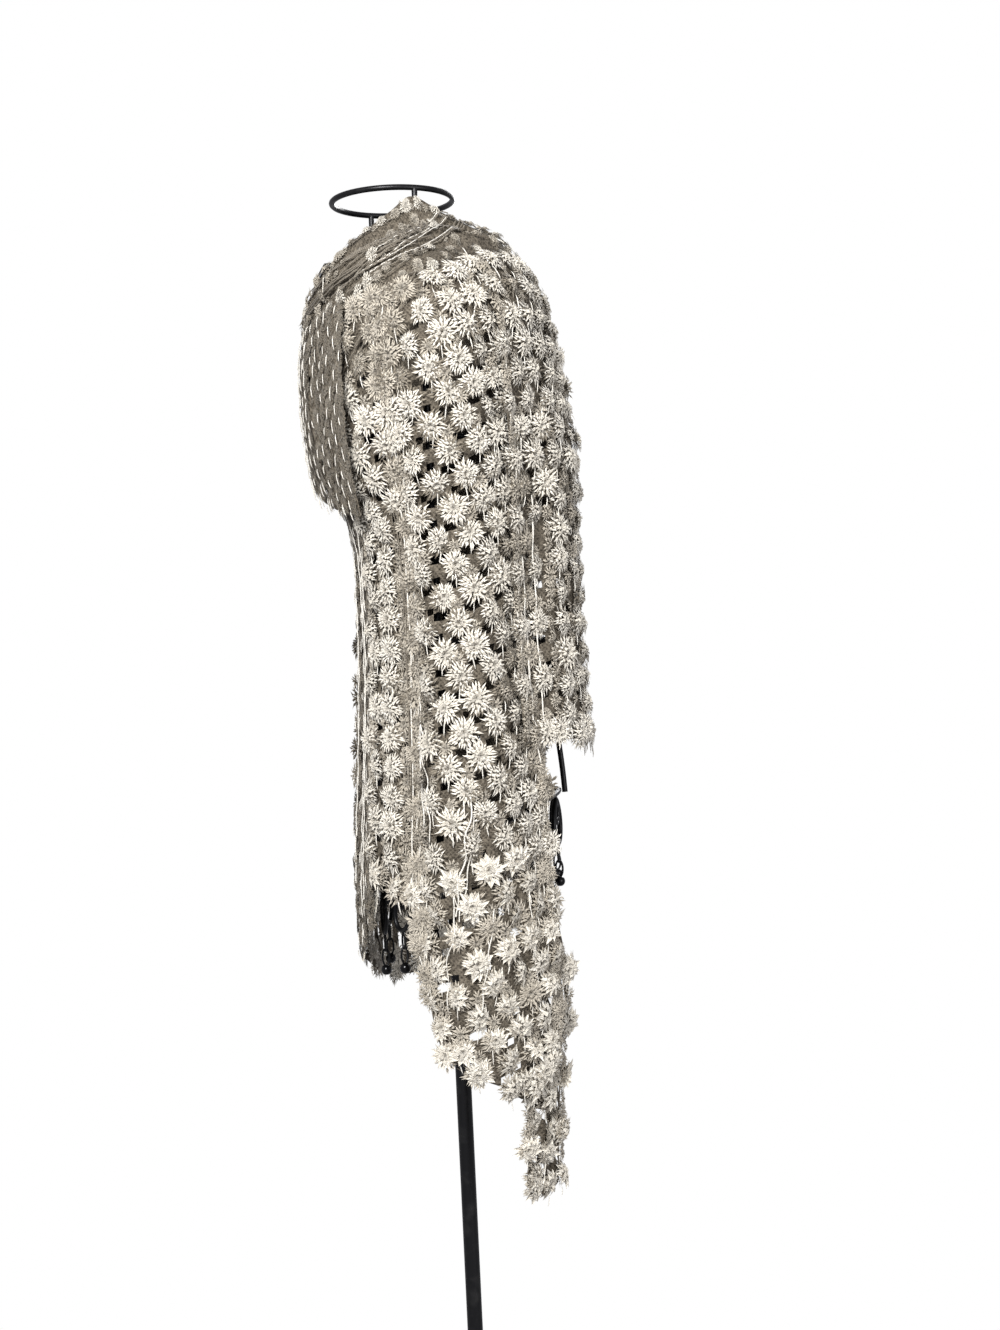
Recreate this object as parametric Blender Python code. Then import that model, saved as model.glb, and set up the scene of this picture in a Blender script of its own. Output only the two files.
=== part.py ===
"""Lace shawl draped on a limbless wire dress form, at real size.

The origin is the centre of the stand's underside, +Z is up, and the form faces -Y.
Every stretch of the shawl and every wire of the upper body is worked out from one
smooth surface of rings, so that the layers nest and nothing crosses.
An angle runs round the form: 0 is the wearer's left side (+X), 90 the back, -90 the front.
"""

from collections import namedtuple
from math import cos, pi, radians, sin, tau

import bmesh
import bpy
from mathutils import Vector

# Driving dimensions, in metres
SEAM = 0.0008
WALL = 0.0024
WIRE_RADIUS = 0.003
WIRE_GAP = 0.0004
NECK_RADIUS = 0.0625
NECK_CENTRE_Y = -0.031
NECK_RING_HEIGHT = 1.500
NECK_HOOP_HEIGHT = 1.437
NECK_POST_ANGLES = (24.0, 204.0)
BUST_HEIGHT = 1.235
WAIST_HEIGHT = 1.040
HEM_MIDDLE_HEIGHT = 0.8425
HEM_TILT = 0.0425
UPRIGHT_COUNT = 8
UPRIGHT_HEIGHTS = (1.424, 1.400, 1.372, 1.335, 1.285, BUST_HEIGHT, 1.175, 1.110, WAIST_HEIGHT,
                   0.970, 0.920)
HOOP_POINTS = 24
SCROLL_COUNT = 12
SCROLL_HALF_WIDTH = 0.020
SCROLL_DROP = 0.046
SCROLL_POINTS = 10
SCROLL_ROUNDNESS = 0.6
PIN_RADIUS = 0.0014
PIN_END = 0.0005
FACET_SHARE = 0.5
POLE_SIDES = 16
DROP_SIDES = 6
SPOKE_BEND = 0.012
SPOKE_ANGLES = (0.0, 90.0, 180.0, -90.0)
SMOOTH_ANGLE = 40.0
POLE_RADIUS = 0.00795
BASE_RADIUS = 0.150
BASE_THICKNESS = 0.007
BOSS_RADIUS = 0.020
BOSS_TOP = 0.030
HUB_RADIUS = 0.018
HUB_HALF_HEIGHT = 0.012
ROUND_SIDES = 32
GAP_WIDTH_SHARE = 0.38
GAP_HEIGHT = 0.011
SCALLOP_DEPTH = 0.007
WAVE_START = 0.080

# The two oval links and the round bead of a drop: middle below its top, half length, radius
Bulge = namedtuple("Bulge", "middle half_length radius")
DROP_BULGES = (
    Bulge(0.0075, 0.0062, 0.0034),
    Bulge(0.0207, 0.0062, 0.0034),
    Bulge(0.0340, 0.0050, 0.0046),
)

# One row for each ring of the smooth surface that the shawl hangs on
Ring = namedtuple("Ring", "height axis half_width front back")
RINGS = (
    Ring(1.510, -0.031, 0.0670, -0.0980, 0.0360),
    Ring(1.470, -0.031, 0.0735, -0.1045, 0.0520),
    Ring(1.450, -0.030, 0.0880, -0.1100, 0.0730),
    Ring(1.430, -0.025, 0.1180, -0.1160, 0.0900),
    Ring(1.405, -0.014, 0.1580, -0.1200, 0.1000),
    Ring(1.375, -0.004, 0.1780, -0.1230, 0.1090),
    Ring(1.330, 0.000, 0.1840, -0.1220, 0.1150),
    Ring(1.280, 0.000, 0.1820, -0.1180, 0.1200),
    Ring(1.220, 0.000, 0.1760, -0.1070, 0.1260),
    Ring(1.150, 0.000, 0.1640, -0.0860, 0.1300),
    Ring(1.060, 0.000, 0.1560, -0.0840, 0.1300),
    Ring(0.980, 0.000, 0.1580, -0.0870, 0.1310),
    Ring(0.880, 0.000, 0.1650, -0.0940, 0.1370),
    Ring(0.800, 0.000, 0.1660, -0.0990, 0.1380),
    Ring(0.700, 0.000, 0.1620, -0.0970, 0.1360),
    Ring(0.600, 0.000, 0.1560, -0.0930, 0.1320),
    Ring(0.470, 0.000, 0.1500, -0.0900, 0.1260),
)

# One row for each long fold; depth is outwards, and the fold fades at its two heights
Fold = namedtuple("Fold", "angle depth half_angle top bottom")
FOLDS = (
    Fold(-17.0, -0.011, 8.0, 1.33, 0.60),
    Fold(10.0, 0.009, 15.0, 1.34, 0.56),
    Fold(40.0, -0.009, 8.0, 1.32, 0.76),
    Fold(68.0, 0.004, 9.0, 1.34, 0.80),
    Fold(96.0, -0.006, 9.0, 1.32, 0.70),
    Fold(124.0, 0.004, 9.0, 1.30, 0.70),
    Fold(152.0, -0.010, 9.0, 1.32, 0.66),
    Fold(176.0, 0.007, 9.0, 1.28, 0.62),
    Fold(-160.0, -0.009, 9.0, 1.30, 0.66),
    Fold(-132.0, 0.006, 10.0, 1.26, 0.62),
    Fold(-106.0, -0.007, 8.0, 1.18, 0.66),
    Fold(-72.0, -0.006, 7.0, 1.16, 0.66),
)

# Edges that change with the angle, one row for each place
Edge = namedtuple("Edge", "angle height")
COWL_TOP = (
    Edge(-180.0, 1.424), Edge(-135.0, 1.400), Edge(-90.0, 1.386), Edge(-70.0, 1.392),
    Edge(-45.0, 1.419), Edge(-20.0, 1.452), Edge(0.0, 1.473), Edge(17.0, 1.489),
    Edge(41.0, 1.473), Edge(66.0, 1.461), Edge(90.0, 1.451), Edge(135.0, 1.439),
    Edge(180.0, 1.424),
)
COWL_BOTTOM = (
    Edge(-180.0, 1.385), Edge(-120.0, 1.365), Edge(-90.0, 1.355), Edge(-45.0, 1.370),
    Edge(0.0, 1.392), Edge(45.0, 1.420), Edge(90.0, 1.415), Edge(180.0, 1.385),
)
NEAR_HEM = (
    Edge(-50.0, 0.822), Edge(-40.0, 0.806), Edge(-30.0, 0.794), Edge(-22.0, 0.770),
    Edge(-17.0, 0.700), Edge(-10.0, 0.654), Edge(0.0, 0.632), Edge(17.0, 0.612),
    Edge(30.0, 0.596), Edge(46.0, 0.640),
)
FAR_HEM = (
    Edge(-226.0, 0.730), Edge(-180.0, 0.715), Edge(-150.0, 0.682), Edge(-115.0, 0.695),
    Edge(-80.0, 0.735), Edge(-52.0, 0.765),
)
BACK_HEM = (Edge(34.0, 0.940), Edge(60.0, 0.938), Edge(100.0, 0.935), Edge(150.0, 0.965))
DRAPE_HEM = (Edge(-125.0, 1.235), Edge(-90.0, 1.212), Edge(-60.0, 1.185), Edge(-36.0, 1.168))
TAIL_HEM = (Edge(33.0, 0.505), Edge(47.0, 0.490), Edge(58.0, 0.510))
TAIL_TOP = (Edge(33.0, 0.800), Edge(47.0, 0.780), Edge(58.0, 0.700))

# How far each stretch stands off the smooth surface, one row for each drop below its top edge
Lift = namedtuple("Lift", "drop lift")
NO_LIFT = (Lift(0.0, 0.0), Lift(1.0, 0.0))
DRAPE_LIFT = (
    Lift(0.0, 0.0032), Lift(0.012, 0.0070), Lift(0.040, 0.0110),
    Lift(0.135, 0.0180), Lift(0.200, 0.0200),
)
BACK_LIFT = (
    Lift(0.0, 0.0032), Lift(0.012, 0.0070), Lift(0.040, 0.0100), Lift(0.195, 0.0140),
    Lift(0.270, 0.0100), Lift(0.430, 0.0110), Lift(0.520, 0.0120),
)
TAIL_LIFT = (Lift(0.0, -0.0036), Lift(0.060, -0.0080), Lift(0.160, -0.0110), Lift(0.310, -0.0140))
# The same for the wires of the form, one row for each height
Depth = namedtuple("Depth", "height lift")
WIRE_LIFT = (
    Depth(1.430, -0.0058), Depth(1.370, -0.0062), Depth(1.300, -0.0140),
    Depth(1.230, -0.0200), Depth(0.980, -0.0200), Depth(0.900, -0.0180), Depth(0.700, -0.0180),
)

# One row for each stretch of the shawl that is cut with gaps
Stretch = namedtuple("Stretch", "name start end top bottom lift columns rows fine_rows wave")
STRETCHES = (
    Stretch("near_fall", -50.0, 46.0, COWL_BOTTOM, NEAR_HEM, NO_LIFT, 7, 15, 5, 0.0),
    Stretch("far_fall", -226.0, -52.0, COWL_BOTTOM, FAR_HEM, NO_LIFT, 10, 10, 4, 0.0),
    Stretch("back_fall", 34.0, 150.0, COWL_BOTTOM, BACK_HEM, BACK_LIFT, 9, 7, 7, 0.0),
    Stretch("front_drape", -125.0, -36.0, COWL_BOTTOM, DRAPE_HEM, DRAPE_LIFT, 5, 3, 3, 0.0),
    Stretch("lower_tail", 33.0, 58.0, TAIL_TOP, TAIL_HEM, TAIL_LIFT, 2, 6, 0, 0.006),
)
COWL_ROUND = 40
COWL_ROWS = 8
COWL_ROLLS = 2.6
COWL_ROLL_HEIGHT = 0.006
COWL_SPIRAL_TURNS = 1

# Colours: name, base colour, roughness, metallic
LACE = ("ivory_lace", (0.78, 0.73, 0.64, 1.0), 0.9, 0.0)
REVERSE = ("taupe_reverse", (0.36, 0.31, 0.25, 1.0), 0.92, 0.0)
METAL = ("black_metal", (0.015, 0.015, 0.016, 1.0), 0.35, 0.8)


def clear_scene():
    """Remove every object of the scene that is open."""
    for scene_object in list(bpy.data.objects):
        bpy.data.objects.remove(scene_object, do_unlink=True)


def give_material(scene_object, finish):
    """Give an object a Principled material of its own."""
    name, colour, roughness, metallic = finish
    material = bpy.data.materials.new(f"{scene_object.name}_{name}")
    material.use_nodes = True
    shader = material.node_tree.nodes["Principled BSDF"]
    shader.inputs["Base Color"].default_value = colour
    shader.inputs["Roughness"].default_value = roughness
    shader.inputs["Metallic"].default_value = metallic
    material.diffuse_color = colour
    scene_object.data.materials.append(material)


def read_table(rows, key, value, position):
    """Read a table at a position, with a smooth curve through its rows."""
    ordered = sorted(rows, key=lambda row: getattr(row, key))
    places = [getattr(row, key) for row in ordered]
    values = [getattr(row, value) for row in ordered]
    if position <= places[0]:
        return values[0]
    if position >= places[-1]:
        return values[-1]
    index = max(i for i, place in enumerate(places) if place <= position)
    index = min(index, len(places) - 2)
    span = places[index + 1] - places[index]
    share = (position - places[index]) / span

    def slope(i):
        low = max(i - 1, 0)
        high = min(i + 1, len(places) - 1)
        return (values[high] - values[low]) / (places[high] - places[low]) * span

    rise = share * share * (3.0 - 2.0 * share)
    start_pull = share * (1.0 - share) ** 2
    end_pull = share * share * (1.0 - share)
    body = values[index] + (values[index + 1] - values[index]) * rise
    return body + slope(index) * start_pull - slope(index + 1) * end_pull


def wrap(angle):
    """Bring an angle into -180 to 180 degrees."""
    return (angle + 180.0) % 360.0 - 180.0


def smooth_point(angle, height):
    """Point of the smooth surface at an angle and a height."""
    axis = read_table(RINGS, "height", "axis", height)
    half_width = read_table(RINGS, "height", "half_width", height)
    turn = radians(angle)
    side = "back" if sin(turn) >= 0.0 else "front"
    reach = abs(read_table(RINGS, "height", side, height) - axis)
    return Vector((half_width * cos(turn), axis + reach * sin(turn), height))


def smooth_normal(angle, height):
    """Outward direction of the smooth surface."""
    step_round = 0.5
    step_down = 0.002
    around = smooth_point(angle + step_round, height) - smooth_point(angle - step_round, height)
    upward = smooth_point(angle, height + step_down) - smooth_point(angle, height - step_down)
    return around.cross(upward).normalized()


def fold_depth(angle, height):
    """Sum of the long folds at an angle and a height."""
    total = 0.0
    for fold in FOLDS:
        off = wrap(angle - fold.angle) / fold.half_angle
        if abs(off) >= 2.0:
            continue
        across = 0.5 + 0.5 * cos(pi * off / 2.0)
        along = (fold.top - height) / (fold.top - fold.bottom)
        if along <= 0.0 or along >= 1.0:
            continue
        total += fold.depth * across * sin(pi * along) ** 0.5
    return total


def cloth_point(angle, height, lift):
    """Point of the folded cloth, lifted off the smooth surface."""
    return smooth_point(angle, height) + smooth_normal(angle, height) * (
        fold_depth(angle, height) + lift
    )


def edge_height(table, angle):
    """Height of an edge at an angle, on whichever turn its table covers."""
    low = min(row.angle for row in table)
    high = max(row.angle for row in table)
    turn = angle
    while turn < low - 1e-6:
        turn += 360.0
    while turn > high + 1e-6:
        turn -= 360.0
    return read_table(table, "angle", "height", turn)


def grid_normals(grid, closed):
    """Outward directions of a grid of points, column by column."""
    columns = len(grid)
    rows = len(grid[0])
    normals = []
    for i in range(columns):
        left = grid[(i - 1) % columns] if closed else grid[max(i - 1, 0)]
        right = grid[(i + 1) % columns] if closed else grid[min(i + 1, columns - 1)]
        line = []
        for j in range(rows):
            around = right[j] - left[j]
            downward = grid[i][min(j + 1, rows - 1)] - grid[i][max(j - 1, 0)]
            line.append(around.cross(-downward).normalized())
        normals.append(line)
    return normals


def wall_node(name, grid, gaps, finish, closed=False):
    """One closed wall through a grid of points, with the cells named in gaps left out.

    The grid's columns run round the form and its rows run down.
    """
    columns = len(grid)
    rows = len(grid[0])
    cell_columns = columns if closed else columns - 1
    normals = grid_normals(grid, closed)
    mesh = bmesh.new()
    outer = [[mesh.verts.new(grid[i][j] + normals[i][j] * WALL / 2) for j in range(rows)]
             for i in range(columns)]
    inner = [[mesh.verts.new(grid[i][j] - normals[i][j] * WALL / 2) for j in range(rows)]
             for i in range(columns)]

    def kept(i, j):
        if closed:
            i %= columns
        return 0 <= i < cell_columns and 0 <= j < rows - 1 and (i, j) not in gaps

    for i in range(cell_columns):
        after = (i + 1) % columns
        for j in range(rows - 1):
            if not kept(i, j):
                continue
            mesh.faces.new((outer[i][j], outer[i][j + 1], outer[after][j + 1], outer[after][j]))
            mesh.faces.new((inner[i][j], inner[after][j], inner[after][j + 1], inner[i][j + 1]))
            sides = (
                (kept(i - 1, j), (i, j + 1), (i, j)),
                (kept(i + 1, j), (after, j), (after, j + 1)),
                (kept(i, j - 1), (i, j), (after, j)),
                (kept(i, j + 1), (after, j + 1), (i, j + 1)),
            )
            for joined, first, second in sides:
                if joined:
                    continue
                mesh.faces.new((
                    outer[second[0]][second[1]], inner[second[0]][second[1]],
                    inner[first[0]][first[1]], outer[first[0]][first[1]],
                ))
    loose = [vertex for vertex in mesh.verts if not vertex.link_faces]
    bmesh.ops.delete(mesh, geom=loose, context="VERTS")
    bmesh.ops.recalc_face_normals(mesh, faces=mesh.faces)
    data = bpy.data.meshes.new(name)
    mesh.to_mesh(data)
    mesh.free()
    return place(name, data, finish)


def place(name, data, finish):
    """Put an object in the scene with a material of its own."""
    scene_object = bpy.data.objects.new(name, data)
    bpy.context.scene.collection.objects.link(scene_object)
    give_material(scene_object, finish)
    return scene_object


def stretch_point(stretch, angle, height, top, turned_in):
    """Point of a stretch, with the lines of its waves turned in below its top edge."""
    drop = top - height
    wave = stretch.wave * turned_in * min(1.0, drop / WAVE_START)
    return cloth_point(angle, height, read_table(stretch.lift, "drop", "lift", drop) - wave)


def stretch_node(stretch):
    """A hanging stretch of the shawl, with staggered gaps and a scalloped hem."""
    pitch = (stretch.end - stretch.start) / stretch.columns
    half_gap = pitch * GAP_WIDTH_SHARE / 2
    lines = [(stretch.start, 0.0)]
    for column in range(stretch.columns):
        centre = stretch.start + (column + 0.5) * pitch
        shift = 0.25 if column % 2 else -0.25
        lines.append((centre - half_gap, shift))
        lines.append((centre + half_gap, shift))
    lines.append((stretch.end, 0.0))

    grid = []
    gap_rows = set()
    for line, (angle, shift) in enumerate(lines):
        top = edge_height(stretch.top, angle) - SEAM
        scallop = SCALLOP_DEPTH * cos(tau * (line % 4) / 4)
        bottom = edge_height(stretch.bottom, angle) + scallop
        row_pitch = (top - bottom) / stretch.rows
        heights = [top]
        for row in range(stretch.rows):
            middle = top - (row + 0.5 + shift) * row_pitch
            if row < stretch.fine_rows:
                heights.append((heights[-1] + middle + GAP_HEIGHT / 2) / 2)
            heights.append(middle + GAP_HEIGHT / 2)
            gap_rows.add(len(heights) - 1)
            heights.append(middle - GAP_HEIGHT / 2)
        heights.append(bottom)
        grid.append([stretch_point(stretch, angle, height, top, line % 2) for height in heights])
    gap_cells = {(2 * column + 1, row) for column in range(stretch.columns) for row in gap_rows}
    finish = REVERSE if stretch.name in ("far_fall", "front_drape") else LACE
    return wall_node(stretch.name, grid, gap_cells, finish)


def neck_cowl():
    """The stretch wound round the neck, with rolls that run in a spiral."""
    grid = []
    for column in range(COWL_ROUND):
        angle = -180.0 + 360.0 * column / COWL_ROUND
        top = edge_height(COWL_TOP, angle)
        bottom = edge_height(COWL_BOTTOM, angle)
        line = []
        for row in range(COWL_ROWS + 1):
            share = row / COWL_ROWS
            height = top + (bottom - top) * share
            phase = COWL_ROLLS * share - COWL_SPIRAL_TURNS * angle / 360.0
            roll = COWL_ROLL_HEIGHT * (0.5 - 0.5 * cos(tau * phase)) * sin(pi * share)
            line.append(cloth_point(angle, height, roll))
        grid.append(line)
    return wall_node("neck_cowl", grid, set(), LACE, closed=True)


def wire_node(name, points, closed=False, radius=WIRE_RADIUS):
    """A round wire along points, as a curve with a bevel and filled caps."""
    data = bpy.data.curves.new(name, "CURVE")
    data.dimensions = "3D"
    data.bevel_depth = radius
    data.bevel_resolution = 1
    data.use_fill_caps = not closed
    spline = data.splines.new("POLY")
    spline.points.add(len(points) - 1)
    for point, position in zip(spline.points, points):
        point.co = (*position, 1.0)
    spline.use_cyclic_u = closed
    return place(name, data, METAL)


def neck_circle_point(angle, radius, height):
    """Point on a circle round the middle of the neck."""
    turn = radians(angle)
    return Vector((radius * cos(turn), NECK_CENTRE_Y + radius * sin(turn), height))


def wire_point(angle, height, further_in=0.0):
    """Point on the cage of the form, inside the cloth."""
    lift = read_table(WIRE_LIFT, "height", "lift", height) - further_in
    return smooth_point(angle, height) + smooth_normal(angle, height) * lift


def hem_height(angle):
    """Height of the tilted hem hoop."""
    return HEM_MIDDLE_HEIGHT + HEM_TILT * sin(radians(angle))


def hoop_point(angle, height):
    """Point on a hoop that lies inside the upright wires."""
    return wire_point(angle, height, 2 * WIRE_RADIUS + WIRE_GAP)


def turned_node(name, profile, finish, centre=(0.0, 0.0), sides=ROUND_SIDES):
    """A closed turned body from (radius, height) points, first and last on the axis."""
    mesh = bmesh.new()
    vertices = [mesh.verts.new((radius, 0.0, height)) for radius, height in profile]
    edges = [mesh.edges.new(pair) for pair in zip(vertices, vertices[1:])]
    bmesh.ops.spin(
        mesh, geom=vertices + edges, axis=(0.0, 0.0, 1.0), cent=(0.0, 0.0, 0.0),
        angle=tau, steps=sides, use_merge=True,
    )
    bmesh.ops.remove_doubles(mesh, verts=mesh.verts, dist=1e-5)
    bmesh.ops.recalc_face_normals(mesh, faces=mesh.faces)
    bmesh.ops.translate(mesh, verts=mesh.verts, vec=(centre[0], centre[1], 0.0))
    data = bpy.data.meshes.new(name)
    mesh.to_mesh(data)
    mesh.free()
    data.shade_smooth()
    data.set_sharp_from_angle(angle=radians(SMOOTH_ANGLE))
    return place(name, data, finish)


def neck():
    """The neck ring, its two posts and the hoop that they stand on."""
    angles = [360.0 * i / HOOP_POINTS for i in range(HOOP_POINTS)]
    for name, height in (("neck_ring", NECK_RING_HEIGHT), ("neck_hoop", NECK_HOOP_HEIGHT)):
        points = [neck_circle_point(angle, NECK_RADIUS, height) for angle in angles]
        wire_node(name, points, closed=True)
    reach = WIRE_RADIUS + WIRE_GAP
    for number, angle in enumerate(NECK_POST_ANGLES):
        top = neck_circle_point(angle, NECK_RADIUS, NECK_RING_HEIGHT - reach)
        foot = neck_circle_point(angle, NECK_RADIUS, NECK_HOOP_HEIGHT + reach)
        wire_node(f"neck_post_{number}", [top, foot])


def hoops():
    """The bust, waist and hem hoops."""
    angles = [360.0 * i / HOOP_POINTS for i in range(HOOP_POINTS)]
    wire_node("bust_hoop", [hoop_point(a, BUST_HEIGHT) for a in angles], closed=True)
    wire_node("waist_hoop", [hoop_point(a, WAIST_HEIGHT) for a in angles], closed=True)
    wire_node("hem_hoop", [hoop_point(a, hem_height(a)) for a in angles], closed=True)


def uprights():
    """The wires that run from the neck hoop over the shoulders to the hem."""
    start_radius = NECK_RADIUS + WIRE_RADIUS + WIRE_GAP
    for number in range(UPRIGHT_COUNT):
        angle = wrap(360.0 * number / UPRIGHT_COUNT)
        points = [
            neck_circle_point(angle, start_radius, NECK_HOOP_HEIGHT),
            neck_circle_point(angle, start_radius + 2 * WIRE_RADIUS, NECK_HOOP_HEIGHT),
        ]
        bottom = hem_height(angle) - WIRE_RADIUS
        for height in UPRIGHT_HEIGHTS:
            points.append(wire_point(angle, height))
        points.append(wire_point(angle, bottom))
        wire_node(f"upright_{number}", points)


def hem_scrolls():
    """Petal loops all round under the hem hoop, each with a drop of beads below it."""
    step = 360.0 / HOOP_POINTS
    for number in range(SCROLL_COUNT):
        angle = wrap(360.0 * (number + 0.5) / SCROLL_COUNT)
        top = hoop_point(angle, hem_height(angle))
        ahead = hoop_point(angle + step, hem_height(angle + step))
        behind = hoop_point(angle - step, hem_height(angle - step))
        across = (ahead - behind).normalized()
        down = Vector((0.0, 0.0, -1.0))
        flat_to_flat = 2 * WIRE_RADIUS * cos(pi / 6)
        start = top + down * (flat_to_flat + WIRE_GAP + abs(across.z) * WIRE_RADIUS / 2)
        points = []
        for i in range(SCROLL_POINTS):
            turn = tau * i / SCROLL_POINTS
            sideways = SCROLL_HALF_WIDTH * sin(turn) * sin(turn / 2) ** SCROLL_ROUNDNESS
            drop = SCROLL_DROP * (0.5 - 0.5 * cos(turn))
            points.append(start + across * sideways + down * drop)
        wire_node(f"scroll_{number}", points, closed=True)
        bottom = start + down * (SCROLL_DROP + WIRE_RADIUS + WIRE_GAP)
        bead_drop(f"drop_{number}", bottom)


def bead_drop(name, top):
    """Two oval links and a round bead in one body, hanging from a point."""
    height = top.z
    profile = [(0.0, height), (PIN_RADIUS, height)]
    for bulge in DROP_BULGES:
        middle = height - bulge.middle
        profile.append((PIN_RADIUS, middle + bulge.half_length))
        profile.append((bulge.radius, middle + bulge.half_length * FACET_SHARE))
        profile.append((bulge.radius, middle - bulge.half_length * FACET_SHARE))
        profile.append((PIN_RADIUS, middle - bulge.half_length))
    profile.append((0.0, profile[-1][1] - PIN_END))
    turned_node(name, profile, METAL, (top.x, top.y), sides=DROP_SIDES)


def stand():
    """The base, the pole, and the hub whose spokes carry the cage."""
    base_edge = 0.002
    profile = (
        (0.0, 0.0), (BASE_RADIUS - base_edge, 0.0), (BASE_RADIUS, base_edge),
        (BASE_RADIUS, BASE_THICKNESS - base_edge), (BASE_RADIUS - base_edge, BASE_THICKNESS),
        (BOSS_RADIUS, BASE_THICKNESS + base_edge), (BOSS_RADIUS, BOSS_TOP), (0.0, BOSS_TOP),
    )
    turned_node("stand_base", profile, METAL)
    hub_bottom = HEM_MIDDLE_HEIGHT - HUB_HALF_HEIGHT
    hub_top = HEM_MIDDLE_HEIGHT + HUB_HALF_HEIGHT
    pole_top = hub_bottom - WIRE_GAP
    pole = ((0.0, BOSS_TOP + WIRE_GAP), (POLE_RADIUS, BOSS_TOP + WIRE_GAP),
            (POLE_RADIUS, pole_top), (0.0, pole_top))
    turned_node("pole", pole, METAL, sides=POLE_SIDES)
    hub = ((0.0, hub_bottom), (HUB_RADIUS, hub_bottom), (HUB_RADIUS, hub_top), (0.0, hub_top))
    turned_node("hub", hub, METAL, sides=POLE_SIDES)
    for number, angle in enumerate(SPOKE_ANGLES):
        hoop = hoop_point(angle, hem_height(angle))
        outward = Vector((cos(radians(angle)), sin(radians(angle)), 0.0))
        inner = outward * (HUB_RADIUS + WIRE_GAP)
        inner.z = HEM_MIDDLE_HEIGHT
        outer = hoop - outward * (WIRE_RADIUS + 2 * WIRE_GAP)
        elbow = inner + outward * SPOKE_BEND
        reach = outer - outward * SPOKE_BEND
        wire_node(f"spoke_{number}", [inner, elbow, reach, outer])


def main():
    """Build the form, the stand and every stretch of the shawl."""
    clear_scene()
    stand()
    neck()
    hoops()
    uprights()
    hem_scrolls()
    neck_cowl()
    for stretch in STRETCHES:
        stretch_node(stretch)


main()
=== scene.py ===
"""Looks of a lace shawl draped on a wire dress form.

Every stretch of the shawl is a thin net on the form of its solid, with gaps cut through,
and is planted with fluffy flowers, tufts and thread bars. The form is black wire with
petal loops, oval links and beads along its hem. Metres, +Z up, the form faces -Y.
"""

import logging
from dataclasses import dataclass, field, replace
from enum import Enum
from math import cos, pi, radians, sin, tau

import bmesh
import bpy
import numpy as np
from bpy.types import Material, Mesh, Node, NodeSocket, NodeTree, Object
from mathutils import Matrix, Vector


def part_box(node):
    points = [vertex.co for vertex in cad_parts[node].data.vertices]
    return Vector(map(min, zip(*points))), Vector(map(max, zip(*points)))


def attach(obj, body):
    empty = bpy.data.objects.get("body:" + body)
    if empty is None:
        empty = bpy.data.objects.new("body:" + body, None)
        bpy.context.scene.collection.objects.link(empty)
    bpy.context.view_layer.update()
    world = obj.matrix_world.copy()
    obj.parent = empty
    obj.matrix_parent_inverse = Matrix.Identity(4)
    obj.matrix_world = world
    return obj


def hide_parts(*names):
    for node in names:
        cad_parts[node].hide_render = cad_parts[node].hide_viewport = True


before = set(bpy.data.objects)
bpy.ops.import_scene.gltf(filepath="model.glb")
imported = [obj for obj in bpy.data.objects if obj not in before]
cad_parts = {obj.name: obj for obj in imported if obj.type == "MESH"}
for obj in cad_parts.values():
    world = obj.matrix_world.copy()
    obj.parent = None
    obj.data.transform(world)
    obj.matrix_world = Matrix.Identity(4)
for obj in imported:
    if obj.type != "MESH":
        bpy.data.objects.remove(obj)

LOG = logging.getLogger("lace_shawl")
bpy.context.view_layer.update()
ROOT = "root"
UP = np.array([0.0, 0.0, 1.0])

# Lace sizes, UNROLL in metres for each degree round the form
FLOWER_PITCH = 0.0295
ROW_PITCH = 0.0270
CELLS = 4
NET_THICKNESS = 0.0007
# Flowers in folds deeper than this get muted petals, as painted shade in the valley
VALLEY_DEPTH = -0.0068
TUFT_RISE = 0.0165
EDGE_PITCH = 0.0090
EDGE_SQUEEZE = 0.75
FLOWER_DRIFT = 0.0016
REVERSE_DEPTH = 0.40
BAR_LEAN = 0.26
STRAND_STEP = 0.005
STRAND_MARGIN = 0.003
UNROLL = 0.0024

# Wire sizes, as the solids have them
WIRE_RADIUS = 0.003
WIRE_GAP = 0.0004
NECK_RADIUS = 0.0625
NECK_CENTRE_Y = -0.031
NECK_RING_HEIGHT = 1.500
NECK_HOOP_HEIGHT = 1.437
NECK_POST_ANGLES = (24.0, 204.0)
BUST_HEIGHT = 1.235
WAIST_HEIGHT = 1.040
HEM_MIDDLE_HEIGHT = 0.8425
HEM_TILT = 0.0425


class Side(Enum):
    """Which side of the cloth faces out."""

    FACE = "face"
    REVERSE = "reverse"


class Slot(Enum):
    """Material slots."""

    IVORY = "ivory_lace"
    TAUPE = "taupe_reverse"
    METAL = "black_metal"


@dataclass(frozen=True)
class Table:
    """A smooth curve through given rows of place and value."""

    rows: tuple[tuple[float, float], ...]
    full_turn: bool = False

    def read(self, places: np.ndarray) -> np.ndarray:
        """Read the curve, which holds its end values outside its rows.

        Args:
            places: Where to read it.

        Returns:
            One value for each place.
        """
        at, values = np.array(sorted(self.rows)).T
        places = np.asarray(places, dtype=float)
        if self.full_turn:
            places = (places + 180.0) % 360.0 - 180.0
        slopes = np.gradient(values)
        slopes[1:-1] = (values[2:] - values[:-2]) / (at[2:] - at[:-2])
        slopes[0] = (values[1] - values[0]) / (at[1] - at[0])
        slopes[-1] = (values[-1] - values[-2]) / (at[-1] - at[-2])
        places = np.clip(places, at[0], at[-1])
        index = np.clip(np.searchsorted(at, places, side="right") - 1, 0, len(at) - 2)
        span = at[index + 1] - at[index]
        share = (places - at[index]) / span
        rise = share * share * (3.0 - 2.0 * share)
        start_pull = slopes[index] * span * share * (1.0 - share) ** 2
        end_pull = slopes[index + 1] * span * share * share * (1.0 - share)
        return values[index] + (values[index + 1] - values[index]) * rise + start_pull - end_pull


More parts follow.
